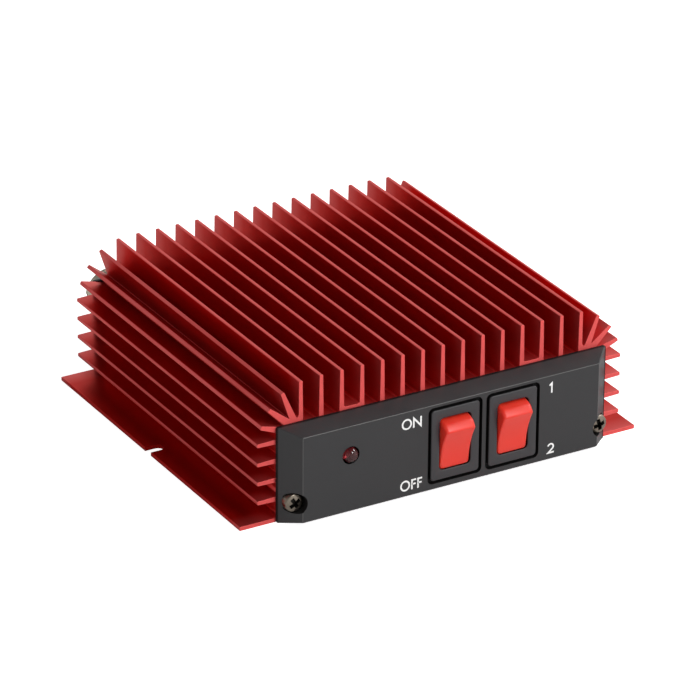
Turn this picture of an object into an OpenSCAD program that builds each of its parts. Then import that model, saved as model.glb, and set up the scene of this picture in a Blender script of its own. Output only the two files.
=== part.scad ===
// Linear amplifier for high-frequency radio, in a finned extruded case.
// An aluminium extrusion is the case and the heatsink. Two moulded panels close its ends, a plate
// slides into its underside, and the amplifier board hangs from its web with the parts facing down.
// Millimetres. +X is right seen from the front, +Y goes to the rear, +Z is up.
// The origin is the bottom centre of the whole object.

/* [Heatsink] */
// Length of the extrusion, front to rear
heatsink_length = 106.5; // [96:0.5:140]
// Distance between neighbouring upright fins
fin_pitch = 6.4; // [6.2:0.1:7.6]
// Upright fins on each side of the middle one
fins_each_side = 7; // [7:1:9]
// Height of the web's upper face above the base
web_top = 29.4; // [29:0.1:34]
// Thickness of the web that carries the upright fins
web_thickness = 3; // [2.4:0.1:3.4]
// Height of the upright fins above the web
fin_height = 11.75; // [6:0.25:20]
// How much lower the two outermost upright fins are
outer_fin_drop = 0.3; // [0:0.1:2]
// Thickness of a fin at its tip
fin_tip = 1.1; // [0.8:0.1:1.6]
// Thickness of a fin at its root
fin_root = 1.5; // [1.2:0.1:2.2]
// Distance from the outermost upright fin to the outer face of the side wall
shoulder = 6.2; // [5.8:0.1:9]
// Width of the bevel where the web turns down into the side wall
corner_bevel = 2.6; // [2:0.1:3.2]
// Thickness of the side walls
wall = 2; // [1.6:0.1:2.6]
// Reach of the level side fins beyond the side wall
side_fin_reach = 7.3; // [4:0.1:10]
// Distance between neighbouring side fins
side_fin_pitch = 5.8; // [5.2:0.1:6]
// Height of the lowest side fin's middle
side_fin_z = 7; // [6:0.1:8]
// Level side fins on each side
side_fins = 4; // [2:1:4]
// Length of the steep corner fin
steep_fin = 9.75; // [5:0.25:12]
// Length of the middle corner fin
middle_fin = 7.5; // [5:0.25:10]
// Length of the shallow corner fin
shallow_fin = 6.9; // [4:0.1:9]
// Rise of the web between the two pairs of fins above the board's pillars
rib_rise = 1; // [0.4:0.1:3]

/* [Mounting flanges] */
// Thickness of the two side flanges
flange_thickness = 1.2; // [1:0.1:2]
// Reach of a flange beyond the side wall
flange_reach = 12.8; // [9:0.1:20]
// Width of the open notch in each flange
notch_width = 3.6; // [3:0.1:5]
// Depth of the notch from the flange's edge
notch_depth = 5; // [3:0.1:8]

/* [End panels] */
// Depth of a moulded panel in front of the extrusion
panel_depth = 5.9; // [5.5:0.1:8]
// Straight lip of a panel before its bevels start
panel_lip = 1; // [0.6:0.1:1.4]
// Overhang of a panel beyond the side wall
panel_overhang = 1.4; // [0.8:0.1:2.5]
// Gap from the base to a panel's lower edge
panel_clear = 0.2; // [0:0.1:0.6]
// Width of the bevels at the panel's two ends
end_bevel = 5.2; // [4:0.1:6]
// Height of the bevel along the panel's top
top_bevel = 2.4; // [1.5:0.1:3]
// Height of the bevel along the panel's bottom
bottom_bevel = 1.5; // [1:0.1:2.5]
// Thickness of the panel's flat face
panel_wall = 2.4; // [2:0.1:3]
// Floor thickness under a panel screw's head
screw_floor = 1.4; // [1.1:0.1:2]

/* [Bottom cover] */
// Thickness of the sliding plate
cover_thickness = 1.5; // [1:0.1:2]
// Depth of the grooves that hold the plate
groove_depth = 1.6; // [1:0.1:1.8]
// Height of the grooves' lower face above the base
groove_z = 1.3; // [1:0.1:2]

/* [Switches] */
// Place of the power switch across the panel
power_x = 0.7; // [-6:0.1:3]
// Distance between the two switches
switch_pitch = 18.6; // [18.2:0.1:24]
// Width of a switch bezel
bezel_width = 15.4; // [14.6:0.1:16.4]
// Height of a switch bezel
bezel_height = 21.5; // [20.6:0.1:22]
// Thickness of a switch bezel
bezel_thickness = 1.3; // [1:0.1:1.6]
// How far a bezel stands proud of the panel
bezel_proud = 0.2; // [0.1:0.1:0.6]
// Width of the black groove around a bezel
bezel_groove = 0.75; // [0.4:0.05:1]
// Width of a rocker
rocker_width = 9; // [8:0.1:9.4]
// Radius of a rocker's curved ends about its pivot
rocker_radius = 8.5; // [7.6:0.1:8.7]
// Distance from the pivot to the finger face
rocker_face = 5.1; // [4.5:0.1:5.6]
// Depth of the hollow across the finger face
rocker_dish = 0.35; // [0.1:0.05:0.6]
// Tilt of a rocker to either side of level
rocker_tilt = 18; // [10:1:19]
// Depth of the pivot behind the bezel's face
pivot_depth = 3.7; // [3.4:0.1:4.2]
// Radius of the rocker's trunnions
trunnion_radius = 1.25; // [0.8:0.05:1.6]

/* [Indicator] */
// Place of the lamp across the panel, from the middle
lamp_x = -32.4; // [-38:0.1:-26]
// Height of the lamp
lamp_z = 18; // [10:0.1:19]
// Radius of the lamp's lens
lamp_radius = 2.45; // [1.5:0.05:2.8]
// How far the dome stands out of the panel
lamp_proud = 1.6; // [0.5:0.1:3]

/* [Sockets] */
// Distance from the middle to each aerial socket
socket_x = 36.5; // [30:0.1:38]
// Height of the sockets and of the cord's grommet
socket_z = 13; // [12.8:0.1:14]
// Radius over a socket's thread
socket_radius = 7.94; // [7:0.01:8.4]
// Reach of a socket's barrel beyond the panel
socket_reach = 16.5; // [14:0.1:20]
// Radius of the hole in the centre contact
contact_bore = 2; // [1.5:0.05:2.1]
// Radius of the hole for the supply cord
cord_hole = 2.6; // [1.5:0.1:3.2]

/* [Board] */
// Width of the circuit board
board_width = 86; // [82:0.5:92]
// Length of the circuit board
board_length = 70; // [68:0.5:71]
// Thickness of the circuit board
board_thickness = 1.6; // [1:0.1:2]
// Distance from the extrusion's front to the board
board_setback = 23; // [22:0.5:24]
// Length of the pillars between web and board
pillar_length = 5.2; // [5:0.1:6]

/* [Hidden] */
$fn = 48;

// Overlap that joins two solids of one piece, and overshoot of a cut past a face
joint = 0.1;
over = 1;
// Clearances: round fit, slip fit between flat faces, and gap around a moving piece
fit = 0.05;
slip = 0.1;
play = 0.3;

// Reach of the object before and behind the extrusion, which sets where the origin falls
rocker_half_face = sqrt(rocker_radius * rocker_radius - rocker_face * rocker_face);
rocker_proud = rocker_face * cos(rocker_tilt) + rocker_half_face * sin(rocker_tilt) - pivot_depth;
front_reach = panel_depth + bezel_proud + rocker_proud;
rear_reach = panel_depth + socket_reach;
front_y = (front_reach - rear_reach - heatsink_length) / 2;
rear_y = front_y + heatsink_length;
middle_y = front_y + heatsink_length / 2;

// Cross-section of the extrusion
body_half = fins_each_side * fin_pitch + shoulder;
inner_half = body_half - wall;
web_bottom = web_top - web_thickness;
flange_half = body_half + flange_reach;
foot_height = groove_z + cover_thickness + 2 * slip + 1.3;
foot_half = inner_half - 2.5;
port_x = body_half - 2;
port_z = foot_height + 2.4;
port_radius = 2.6;
// Angle above level, root place from the wall's outer face, root place from the web's top, length
corner_fins = [[69, -4, 0, steep_fin], [50, -1.2, -0.8, middle_fin], [20.5, -0.3, -2.2, shallow_fin]];
root_flare = 0.5;

// Fasteners
screw_head = 2.6;
screw_head_height = 1.9;
screw_shank = 1.4;
screw_length = 9;
screw_recess = screw_head + 0.35;

// End panels
panel_half = body_half + panel_overhang;
panel_top = web_top - 0.2;
face_bottom = panel_clear + bottom_bevel;
face_top = panel_top - top_bevel;
face_half = panel_half - end_bevel;
face_z = (face_bottom + face_top) / 2;
panel_rim = 3.4;
tongue_width = 10;
tongue_reach = 6;
tongue_thickness = 2;
tongue_x = 24;

// Switches: the local frame has its origin on the pivot, +Y inward and +Z up
bezel_round = 1.3;
pocket_depth = bezel_thickness - bezel_proud;
housing_width = 13;
housing_height = 19;
trunnion_length = 1.2;
rocker_skirt = 1.6;
plunger_radius = 1.25;
plunger_reach = 6;
boss_radius = 2;
boss_reach = 2.6;
spring_stop = 0.5;
blade_thickness = 0.5;
blade_width = 3.4;
blade_half = 5;
blade_tilt = 8;
blade_y = plunger_reach + play;
fulcrum_radius = 0.6;
fulcrum_gap = fulcrum_radius + fit;
blade_axis_y = blade_y + blade_thickness + fulcrum_gap;
contact_y = blade_axis_y + blade_half * sin(blade_tilt) - fulcrum_gap * cos(blade_tilt) + play;
contact_z = blade_half - 0.9;
chamber_y = contact_y + 1.2;
housing_floor = 1;
terminal_width = 4.8;
terminal_thickness = 0.8;
terminal_reach = 7;
mode_x = power_x + switch_pitch;
pivot_y = front_y - panel_depth - bezel_proud + pivot_depth;
terminal_end_y = pivot_y + chamber_y + housing_floor + terminal_reach;

// Indicator lamp
lamp_boss = 3.6;
lamp_flange = 1;
lamp_flange_extra = 0.45;
lamp_back_y = front_y - panel_depth + panel_wall + lamp_boss + lamp_flange;
lead_gap = 2.54;
lead_size = 0.5;

// Sockets, outward along +Y from the rear panel's face
socket_face_y = rear_y + panel_depth;
tag_thickness = 0.5;
socket_mount_radius = socket_radius + 0.4;
socket_mount_reach = 3.8;
socket_flange = 2;
socket_flange_radius = socket_mount_radius + 0.8;
socket_bore = socket_radius - 1.7;
socket_neck = 4.6;
socket_step = -1;
socket_back = -panel_wall - tag_thickness - socket_flange;
insulator_back = socket_back - 1.5;
insulator_front = socket_reach - 3;
contact_radius = contact_bore + 0.6;
contact_front = insulator_front + 0.5;
contact_hole_depth = 11;
contact_tail = insulator_back - 2.5;
washer_thickness = 0.8;
washer_radius = socket_mount_radius + 2;
nut_thickness = socket_mount_reach - washer_thickness - 0.4;
nut_radius = socket_mount_radius + 2.6;
grommet_neck = cord_hole + 1.8;
grommet_flange = grommet_neck + 1.7;
grommet_lip = 1.5;

// Board: the parts hang from its underside
board_front_y = front_y + board_setback;
board_top = web_bottom - pillar_length;
board_bottom = board_top - board_thickness;
pillar_x = 4.5 * fin_pitch;
pillar_inset = 5;
pillar_radius = 2.75;
pillar_stud = 2;
board_screw_length = 5;
power_device_x = 11;
power_device_v = 30;
tab_width = 10;
tab_length = 15.5;
tab_thickness = 1.3;
tab_hole_from_end = 2.8;
device_body_length = 9;
device_body_height = 4.4;
device_lead_gap = 2.54;
insulator_thickness = 0.12;
web_skin = 0.7;
device_screw_bite = web_thickness - web_skin;
lead_tail = 0.8;

// ---------------------------------------------------------------- helpers

// Extrudes a drawing of the X-Z plane along +Y, from y to y + length
module along_y(y, length) {
    translate([0, y + length, 0]) rotate([90, 0, 0]) linear_extrude(length) children();
}

// Round bar along +Y, from y0 to y1
module bar_y(r, y0, y1) {
    translate([0, y0, 0]) rotate([-90, 0, 0]) cylinder(r = r, h = y1 - y0);
}

// Box given by its lowest and highest corners
module span(low, high) {
    translate(low) cube(high - low);
}

module both_sides() {
    for (side = [0, 1]) mirror([side, 0, 0]) children();
}

module rounded_rectangle(width, height, radius) {
    square([width - 2 * radius, height], center = true);
    square([width, height - 2 * radius], center = true);
    for (x = [-1, 1], z = [-1, 1])
        translate([x * (width / 2 - radius), z * (height / 2 - radius)]) circle(radius);
}

// Upright fin drawn from the origin, with a small flare at its root
module fin_outline(length) {
    polygon([[-fin_root / 2 - root_flare, -joint], [-fin_root / 2 - root_flare, 0],
        [-fin_root / 2, root_flare], [-fin_tip / 2, length], [fin_tip / 2, length],
        [fin_root / 2, root_flare], [fin_root / 2 + root_flare, 0], [fin_root / 2 + root_flare, -joint]]);
}

// Cross-head screw: the seat of the head is at the origin, the shank goes up +Z
module cross_screw(head, head_height, shank, length) {
    slot = head * 0.36;
    difference() {
        union() {
            intersection() {
                translate([0, 0, -head_height]) cylinder(r = head, h = head_height);
                translate([0, 0, head * 1.25 - head_height]) sphere(head * 1.25);
            }
            cylinder(r = shank, h = length);
        }
        for (turn = [0, 90]) rotate([0, 0, turn])
            translate([-head * 0.62, -slot / 2, -head_height - over])
                cube([head * 1.24, slot, over + head_height * 0.55]);
    }
}

// Line from start to end that leaves start along out and reaches end from its side back, with
// a short straight stretch at each end
function swing(start, out, back, end, steps = 8) =
    let (a = start + unit(out) / 2, b = end + unit(back) / 2)
        concat([start], [for (i = [0 : steps]) bezier(a, a + out, b + back, b, i / steps)], [end]);
function bezier(a, b, c, d, t) = a * pow(1 - t, 3) + 3 * b * pow(1 - t, 2) * t
    + 3 * c * (1 - t) * t * t + d * pow(t, 3);
function unit(v) = v / norm(v);
function tangents(p) =
    [for (i = [0 : len(p) - 1]) unit(p[min(i + 1, len(p) - 1)] - p[max(i - 1, 0)])];
function squared(n, t) = unit(n - t * (n * t));
function normals(t, first) = [for (i = 0, n = squared(first, t[0]); i < len(t);
    i = i + 1, n = i < len(t) ? squared(n, t[i]) : n) n];

// Round wire carried along a line of points
module wire(p, r, sides = 8, first = [0.31, 0.52, 0.8]) {
    t = tangents(p);
    n = normals(t, first);
    rings = len(p);
    points = [for (i = [0 : rings - 1], k = [0 : sides - 1])
        p[i] + r * (cos(360 * k / sides) * n[i] + sin(360 * k / sides) * cross(t[i], n[i]))];
    sleeve = [for (i = [0 : rings - 2], k = [0 : sides - 1])
        [i * sides + k, i * sides + (k + 1) % sides, (i + 1) * sides + (k + 1) % sides,
            (i + 1) * sides + k]];
    start = [for (k = [sides - 1 : -1 : 0]) k];
    finish = [for (k = [0 : sides - 1]) (rings - 1) * sides + k];
    polyhedron(points = points, faces = [for (f = concat(sleeve, [start, finish]))
        [for (i = [len(f) - 1 : -1 : 0]) f[i]]]);
}

// ---------------------------------------------------------------- case

// Runs a drawing of the cross-section along the whole extrusion
module run() {
    along_y(front_y, heatsink_length) children();
}

// Tunnel of web and side walls, with thicker feet that hold the bottom cover
module tunnel() {
    gusset = 2.5;
    right = [[body_half, 0], [body_half, web_top - corner_bevel], [body_half - corner_bevel, web_top]];
    inside = [[inner_half - gusset, web_bottom], [inner_half, web_bottom - gusset],
        [inner_half, foot_height], [foot_half, foot_height], [foot_half, 0]];
    run() polygon(concat(right, [for (i = [2 : -1 : 0]) [-right[i][0], right[i][1]]],
        [for (i = [4 : -1 : 0]) [-inside[i][0], inside[i][1]]], inside));
}

module corner_fin(fin) {
    run() translate([body_half + fin[1], web_top + fin[2]]) rotate(fin[0] - 90)
        fin_outline(fin[3]);
}

module heatsink() {
    color("#8c1410") difference() {
        union() {
            tunnel();
            run() translate([0, web_top]) fin_outline(fin_height);
            both_sides() {
                run() translate([port_x, port_z]) circle(port_radius);
                run() translate([pillar_x - fin_pitch / 2, web_top - joint])
                    square([fin_pitch, rib_rise + joint]);
                run() translate([body_half - joint, 0])
                    square([flange_reach + joint, flange_thickness]);
                for (i = [1 : fins_each_side]) run() translate([i * fin_pitch, web_top])
                    fin_outline(fin_height - (i == fins_each_side ? outer_fin_drop : 0));
                for (fin = corner_fins) corner_fin(fin);
                for (i = [0 : side_fins - 1]) run()
                    translate([body_half, side_fin_z + i * side_fin_pitch]) rotate(-90)
                        fin_outline(side_fin_reach);
            }
        }
        both_sides() {
            span([0, front_y - over, groove_z],
                [foot_half + groove_depth, rear_y + over, groove_z + cover_thickness + 2 * slip]);
            translate([port_x, 0, port_z]) bar_y(screw_shank + fit, front_y - over, rear_y + over);
            translate([flange_half - notch_depth + notch_width / 2, middle_y, -over])
                cylinder(d = notch_width, h = flange_thickness + 2 * over);
            span([flange_half - notch_depth + notch_width / 2, middle_y - notch_width / 2, -over],
                [flange_half + over, middle_y + notch_width / 2, flange_thickness + over]);
            for (y = pillar_y) translate([pillar_x, y, web_bottom - over])
                cylinder(r = screw_shank + fit, h = over + pillar_stud + slip);
            translate([power_device_x, device_hole_y, web_bottom - over])
                cylinder(r = screw_shank + fit, h = over + device_screw_bite + slip);
        }
    }
}

// Moulded cap that closes one end: local Y is 0 at the extrusion and the face is at -panel_depth
module panel_shell() {
    difference() {
        intersection() {
            translate([0, 0, panel_clear]) linear_extrude(panel_top - panel_clear)
                polygon([[-panel_half, 0], [-panel_half, -panel_lip], [-face_half, -panel_depth],
                    [face_half, -panel_depth], [panel_half, -panel_lip], [panel_half, 0]]);
            translate([-panel_half, 0, 0]) rotate([90, 0, 90]) linear_extrude(2 * panel_half)
                polygon([[0, panel_clear], [-panel_lip, panel_clear], [-panel_depth, face_bottom],
                    [-panel_depth, face_top], [-panel_lip, panel_top], [0, panel_top]]);
        }
        span([-port_x + panel_rim, -panel_depth + panel_wall, face_bottom + panel_rim / 2],
            [port_x - panel_rim, over, face_top - panel_rim / 2]);
        both_sides() translate([port_x, 0, port_z]) {
            bar_y(screw_shank + slip, -panel_depth, over);
            bar_y(screw_recess, -panel_depth - over, -screw_floor);
        }
    }
    both_sides() span([tongue_x, -panel_depth + panel_wall - joint, web_bottom - slip - tongue_thickness],
        [tongue_x + tongue_width, tongue_reach, web_bottom - slip]);
}

module front_panel() {
    color("#424244") translate([0, front_y, 0]) difference() {
        union() {
            panel_shell();
            translate([lamp_x, 0, lamp_z])
                bar_y(lamp_radius + 1.9, -panel_depth + panel_wall - joint,
                    -panel_depth + panel_wall + lamp_boss);
        }
        for (x = [power_x, mode_x]) translate([x, -panel_depth, face_z]) {
            along_y(-over, over + pocket_depth) rounded_rectangle(bezel_width + 2 * bezel_groove,
                bezel_height + 2 * bezel_groove, bezel_round + bezel_groove);
            along_y(-over, over + 2 * panel_wall)
                square([housing_width + 2 * slip, housing_height + 2 * slip], center = true);
        }
        translate([lamp_x, 0, lamp_z])
            bar_y(lamp_radius + 2 * slip, -panel_depth - over, panel_depth);
    }
}

module rear_panel() {
    color("#3a3a3c") translate([0, rear_y, 0]) mirror([0, 1, 0]) difference() {
        panel_shell();
        both_sides() translate([socket_x, 0, socket_z]) {
            bar_y(socket_mount_radius + slip, -panel_depth - over, over);
            bar_y(socket_flange_radius + slip, -panel_depth + panel_wall, over);
        }
        translate([0, 0, socket_z]) bar_y(grommet_neck + fit, -panel_depth - over, over);
    }
}

module bottom_cover() {
    half = foot_half + groove_depth - slip;
    color("#b9bcc0") span([-half, front_y + fit, groove_z + slip],
        [half, rear_y - fit, groove_z + slip + cover_thickness]);
}

module panel_screws() {
    both_sides() translate([port_x, -screw_floor, port_z]) rotate([-90, 0, 0])
        cross_screw(screw_head, screw_head_height, screw_shank, screw_length);
}

module front_panel_screws() {
    color("#7d766c") translate([0, front_y, 0]) panel_screws();
}

module rear_panel_screws() {
    color("#7d766c") translate([0, rear_y, 0]) mirror([0, 1, 0]) panel_screws();
}

// ---------------------------------------------------------------- switches

module at_switch(x) {
    translate([x, pivot_y, face_z]) children();
}

module switch_housing(poles) {
    color("#2e2e30") difference() {
        union() {
            along_y(-pivot_depth, bezel_thickness)
                rounded_rectangle(bezel_width, bezel_height, bezel_round);
            along_y(-pivot_depth + bezel_thickness - joint,
                pivot_depth - bezel_thickness + joint + chamber_y + housing_floor)
                square([housing_width, housing_height], center = true);
            for (side = [0, 1]) mirror([0, 0, side]) latch();
        }
        rotate([0, 90, 0])
            cylinder(r = rocker_radius + play, h = rocker_width + 2 * play, center = true);
        rotate([0, 90, 0]) cylinder(r = trunnion_radius + fit,
            h = rocker_width + 2 * (trunnion_length + slip), center = true);
        span([-rocker_width / 2 - play, 0, -housing_height / 2 + wall],
            [rocker_width / 2 + play, chamber_y, housing_height / 2 - wall]);
        for (pole = poles) translate([0, chamber_y, pole * contact_z])
            span([-terminal_width / 2 - fit, -over, -terminal_thickness / 2 - fit],
                [terminal_width / 2 + fit, housing_floor + over, terminal_thickness / 2 + fit]);
    }
}

// Snap latch on the housing's upper face, behind the panel's wall
module latch() {
    seat_y = bezel_proud - pivot_depth + panel_wall + slip;
    translate([-housing_width / 4, 0, 0]) rotate([90, 0, 90]) linear_extrude(housing_width / 2)
        polygon([[seat_y, housing_height / 2 - joint], [seat_y, housing_height / 2 + 0.8],
            [seat_y + 4, housing_height / 2], [seat_y + 4, housing_height / 2 - joint]]);
}

// Rocker with the face level; it is turned to its rest position afterwards
module rocker_body() {
    dish_radius = (rocker_half_face * rocker_half_face + rocker_dish * rocker_dish) / (2 * rocker_dish);
    hollow_half = rocker_width / 2 - 1.1;
    difference() {
        intersection() {
            rotate([0, 90, 0]) cylinder(r = rocker_radius, h = rocker_width, center = true);
            span([-rocker_width / 2, -rocker_face, -rocker_radius],
                [rocker_width / 2, rocker_skirt, rocker_radius]);
        }
        translate([0, rocker_dish - rocker_face - dish_radius, 0]) rotate([0, 90, 0])
            cylinder(r = dish_radius, h = rocker_width + 2 * over, center = true, $fn = 360);
        span([-hollow_half, 1.9 - rocker_face, -rocker_half_face + 0.9],
            [hollow_half, rocker_skirt + over, rocker_half_face - 0.9]);
    }
    difference() {
        bar_y(boss_radius, 1.9 - rocker_face - joint, boss_reach);
        bar_y(plunger_radius + fit, 2.4 - rocker_face, boss_reach + over);
    }
    for (side = [-1, 1]) translate([side * (rocker_width + trunnion_length) / 2, 0, 0])
        rotate([0, 90, 0]) cylinder(r = trunnion_radius, h = trunnion_length + joint, center = true);
}

module rocker() {
    color("#e04a40") rotate([rocker_tilt, 0, 0]) rocker_body();
}

module plunger() {
    color("#e8e4d8") rotate([rocker_tilt, 0, 0]) {
        bar_y(plunger_radius, -spring_stop, plunger_reach - plunger_radius);
        translate([0, plunger_reach - plunger_radius, 0]) sphere(plunger_radius);
    }
}

// Coil spring behind the plunger, in the rocker's boss
module plunger_spring() {
    turns = 5;
    thick = 0.16;
    low = 2.4 - rocker_face + thick;
    high = -spring_stop - thick;
    ring = plunger_radius - thick - fit;
    color("#c8c8cc") rotate([rocker_tilt, 0, 0])
        wire([for (a = [0 : 30 : 360 * turns])
            [ring * cos(a), low + (high - low) * a / (360 * turns), ring * sin(a)]], thick, 6, [0, 1, 0]);
}

module contact_blade() {
    color("#c9873c") translate([0, blade_axis_y, 0]) rotate([-blade_tilt, 0, 0])
        span([-blade_width / 2, blade_y - blade_axis_y, -blade_half],
            [blade_width / 2, blade_y + blade_thickness - blade_axis_y, blade_half]);
}

// Pole 0 carries the blade's round fulcrum, poles -1 and 1 carry the lower and the upper contact
module switch_terminals(poles) {
    color("#d9c27a") translate([0, blade_axis_y, 0]) rotate([0, 90, 0])
        cylinder(r = fulcrum_radius, h = blade_width, center = true);
    color("#d9c27a") for (pole = poles) translate([0, 0, pole * contact_z]) {
        top = pole == 0 ? blade_axis_y : contact_y;
        span([-terminal_width / 2, chamber_y - 0.7, -terminal_thickness / 2],
            [terminal_width / 2, chamber_y + housing_floor + terminal_reach, terminal_thickness / 2]);
        bar_y(terminal_thickness / 2, top, chamber_y - 0.7 + joint);
    }
}

power_poles = [0, -1];
mode_poles = [-1, 0, 1];

module power_switch_housing() { at_switch(power_x) switch_housing(power_poles); }
module power_rocker() { at_switch(power_x) rocker(); }
module power_plunger() { at_switch(power_x) plunger(); }
module power_plunger_spring() { at_switch(power_x) plunger_spring(); }
module power_contact_blade() { at_switch(power_x) contact_blade(); }
module power_switch_terminals() { at_switch(power_x) switch_terminals(power_poles); }
module mode_switch_housing() { at_switch(mode_x) switch_housing(mode_poles); }
module mode_rocker() { at_switch(mode_x) rocker(); }
module mode_plunger() { at_switch(mode_x) plunger(); }
module mode_plunger_spring() { at_switch(mode_x) plunger_spring(); }
module mode_contact_blade() { at_switch(mode_x) contact_blade(); }
module mode_switch_terminals() { at_switch(mode_x) switch_terminals(mode_poles); }

// ---------------------------------------------------------------- indicator lamp

module lamp_lens() {
    tip_y = front_y - panel_depth - lamp_proud;
    flange_radius = lamp_radius + lamp_flange_extra;
    color("#7c1a1c") translate([lamp_x, 0, lamp_z]) difference() {
        union() {
            translate([0, tip_y + lamp_radius, 0]) sphere(lamp_radius);
            bar_y(lamp_radius, tip_y + lamp_radius, lamp_back_y);
            bar_y(flange_radius, lamp_back_y - lamp_flange, lamp_back_y);
        }
        span([flange_radius - lamp_flange_extra, lamp_back_y - lamp_flange - over, -flange_radius],
            [flange_radius + over, lamp_back_y + over, flange_radius]);
    }
}

// Two leads run back from the lamp and turn up into the board
module lamp_leads() {
    end_y = board_front_y + 2.5;
    color("#c8c8cc") for (side = [-1, 1]) translate([lamp_x + side * lead_gap / 2, 0, lamp_z]) {
        span([-lead_size / 2, lamp_back_y, -lead_size / 2], [lead_size / 2, end_y, lead_size / 2]);
        span([-lead_size / 2, end_y - lead_size, -lead_size / 2],
            [lead_size / 2, end_y, board_bottom - lamp_z]);
    }
}

// ---------------------------------------------------------------- sockets and cord entry

module at_socket(side) {
    translate([side * socket_x, socket_face_y, socket_z]) children();
}

module socket_shell() {
    color("#c4c2bd") difference() {
        union() {
            bar_y(socket_radius, socket_back, socket_reach);
            bar_y(socket_mount_radius, socket_back, socket_mount_reach);
            bar_y(socket_flange_radius, socket_back, socket_back + socket_flange);
        }
        bar_y(socket_bore, socket_step, socket_reach + over);
        bar_y(socket_neck, socket_back - over, socket_step + over);
        for (turn = [0, 90]) rotate([0, turn, 0])
            span([-socket_radius - over, socket_reach - 1.4, -1.1],
                [socket_radius + over, socket_reach + over, 1.1]);
    }
}

module socket_insulator() {
    color("#ece7da") difference() {
        union() {
            bar_y(socket_bore - fit, socket_step, insulator_front);
            bar_y(socket_neck - fit, insulator_back, socket_step + joint);
        }
        bar_y(contact_radius + fit, insulator_back - over, insulator_front + over);
    }
}

module socket_contact() {
    color("#d9c27a") difference() {
        union() {
            bar_y(contact_radius, insulator_back, contact_front);
            bar_y(contact_radius - 1, contact_tail, insulator_back + joint);
        }
        bar_y(contact_bore, contact_front - contact_hole_depth, contact_front + over);
    }
}

module input_socket_shell() { at_socket(-1) socket_shell(); }
module input_socket_insulator() { at_socket(-1) socket_insulator(); }
module input_socket_contact() { at_socket(-1) socket_contact(); }
module output_socket_shell() { at_socket(1) socket_shell(); }
module output_socket_insulator() { at_socket(1) socket_insulator(); }
module output_socket_contact() { at_socket(1) socket_contact(); }

module socket_washers() {
    color("#a9a9ab") for (side = [-1, 1]) at_socket(side) difference() {
        bar_y(washer_radius, 0, washer_thickness);
        bar_y(socket_mount_radius + fit, -over, washer_thickness + over);
    }
}

module socket_nuts() {
    color("#bdbbb6") for (side = [-1, 1]) at_socket(side) difference() {
        intersection() {
            translate([0, washer_thickness, 0]) rotate([-90, 0, 0])
                cylinder(r = nut_radius, h = nut_thickness, $fn = 6);
            bar_y(nut_radius - 0.5, washer_thickness, washer_thickness + nut_thickness);
        }
        bar_y(socket_mount_radius + fit, washer_thickness - over, washer_thickness + nut_thickness + over);
    }
}

// Solder tags clamped between each socket's flange and the panel
module ground_tags() {
    outer = socket_flange_radius - slip;
    color("#d6d3cc") for (side = [-1, 1]) at_socket(side)
        translate([0, -panel_wall - tag_thickness, 0]) difference() {
            union() {
                bar_y(outer, 0, tag_thickness);
                span([-1.6, 0, 0], [1.6, tag_thickness, outer + 2.6]);
            }
            bar_y(socket_mount_radius + fit, -over, tag_thickness + over);
            translate([0, 0, outer + 1.2]) bar_y(0.7, -over, tag_thickness + over);
        }
}

module cord_grommet() {
    outer_lip = socket_face_y + grommet_lip;
    inner_lip = socket_face_y - panel_wall - grommet_lip;
    color("#1c1c1e") translate([0, 0, socket_z]) difference() {
        union() {
            bar_y(grommet_neck, inner_lip, outer_lip);
            bar_y(grommet_flange, inner_lip, inner_lip + grommet_lip);
            bar_y(grommet_flange, outer_lip - grommet_lip, outer_lip);
        }
        bar_y(cord_hole, inner_lip - over, outer_lip + over);
    }
}

// ---------------------------------------------------------------- board and its parts

pillar_y = [board_front_y + pillar_inset, board_front_y + board_length - pillar_inset];
device_hole_y = board_front_y + power_device_v + tab_length - tab_hole_from_end;
device_lead_y = board_front_y + power_device_v - 3;
driver_hole_radius = screw_head + 0.6;

// Places a part on the board's underside: x across, v back from the board's front edge
module on_board(x, v) {
    translate([x, board_front_y + v, board_bottom]) mirror([0, 0, 1]) children();
}

// Sizes of the small parts
resistor_half = 3.6;
capacitor_radius = 4;
capacitor_height = 9.4;
disc_radius = 3.2;
disc_thickness = 1.4;
resistor_radius = 1.25;
diode_radius = 1.5;
diode_half = 2.6;
post_radius = 1.1;
post_height = 4;
post_x = 15;
post_inset = 3.4;

// Where parts stand, and where their leads pass the board: x, v and the lead's radius
relay_x = 31;
relay_v = board_length - 23;
capacitor_places = [[-36, 12], [-36, 24], [-26, 18]];
disc_places = [[-19, 31], [16, 22], [-19, board_length - 26], [18.5, 36], [34, 25]];
resistor_places = [[-36, 40], [-30.5, 40], [-25, 40], [-21, board_length - 14]];
diode_place = [18, board_length - 10];
relay_leads = [for (x = [-1, 1], y = [-1 : 1]) [relay_x + x * 5.6, relay_v + y * 7, 0.35]];
capacitor_leads = [for (p = capacitor_places, side = [-1, 1]) [p[0] + side * 1.25, p[1], 0.3]];
disc_leads = [for (p = disc_places, side = [-1, 1]) [p[0] + side * 1.5, p[1], 0.25]];
resistor_ends = [for (p = resistor_places, side = [-1, 1])
    [p[0], p[1] + side * (resistor_half + 1.4), 0.3]];
diode_leads = [for (side = [-1, 1]) [diode_place[0], diode_place[1] + side * (diode_half + 1.4), 0.45]];
post_leads = [for (side = [-1, 1]) [side * post_x, board_length - post_inset, 0.7]];
lead_holes = concat(relay_leads, capacitor_leads, disc_leads, resistor_ends, diode_leads, post_leads);

// Straight stretch of a lead, from its tail above the board down to the given drop below the board
module lead(place, drop) {
    on_board(place[0], place[1]) translate([0, 0, -board_thickness - lead_tail])
        cylinder(r = place[2], h = board_thickness + lead_tail + drop);
}

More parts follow.
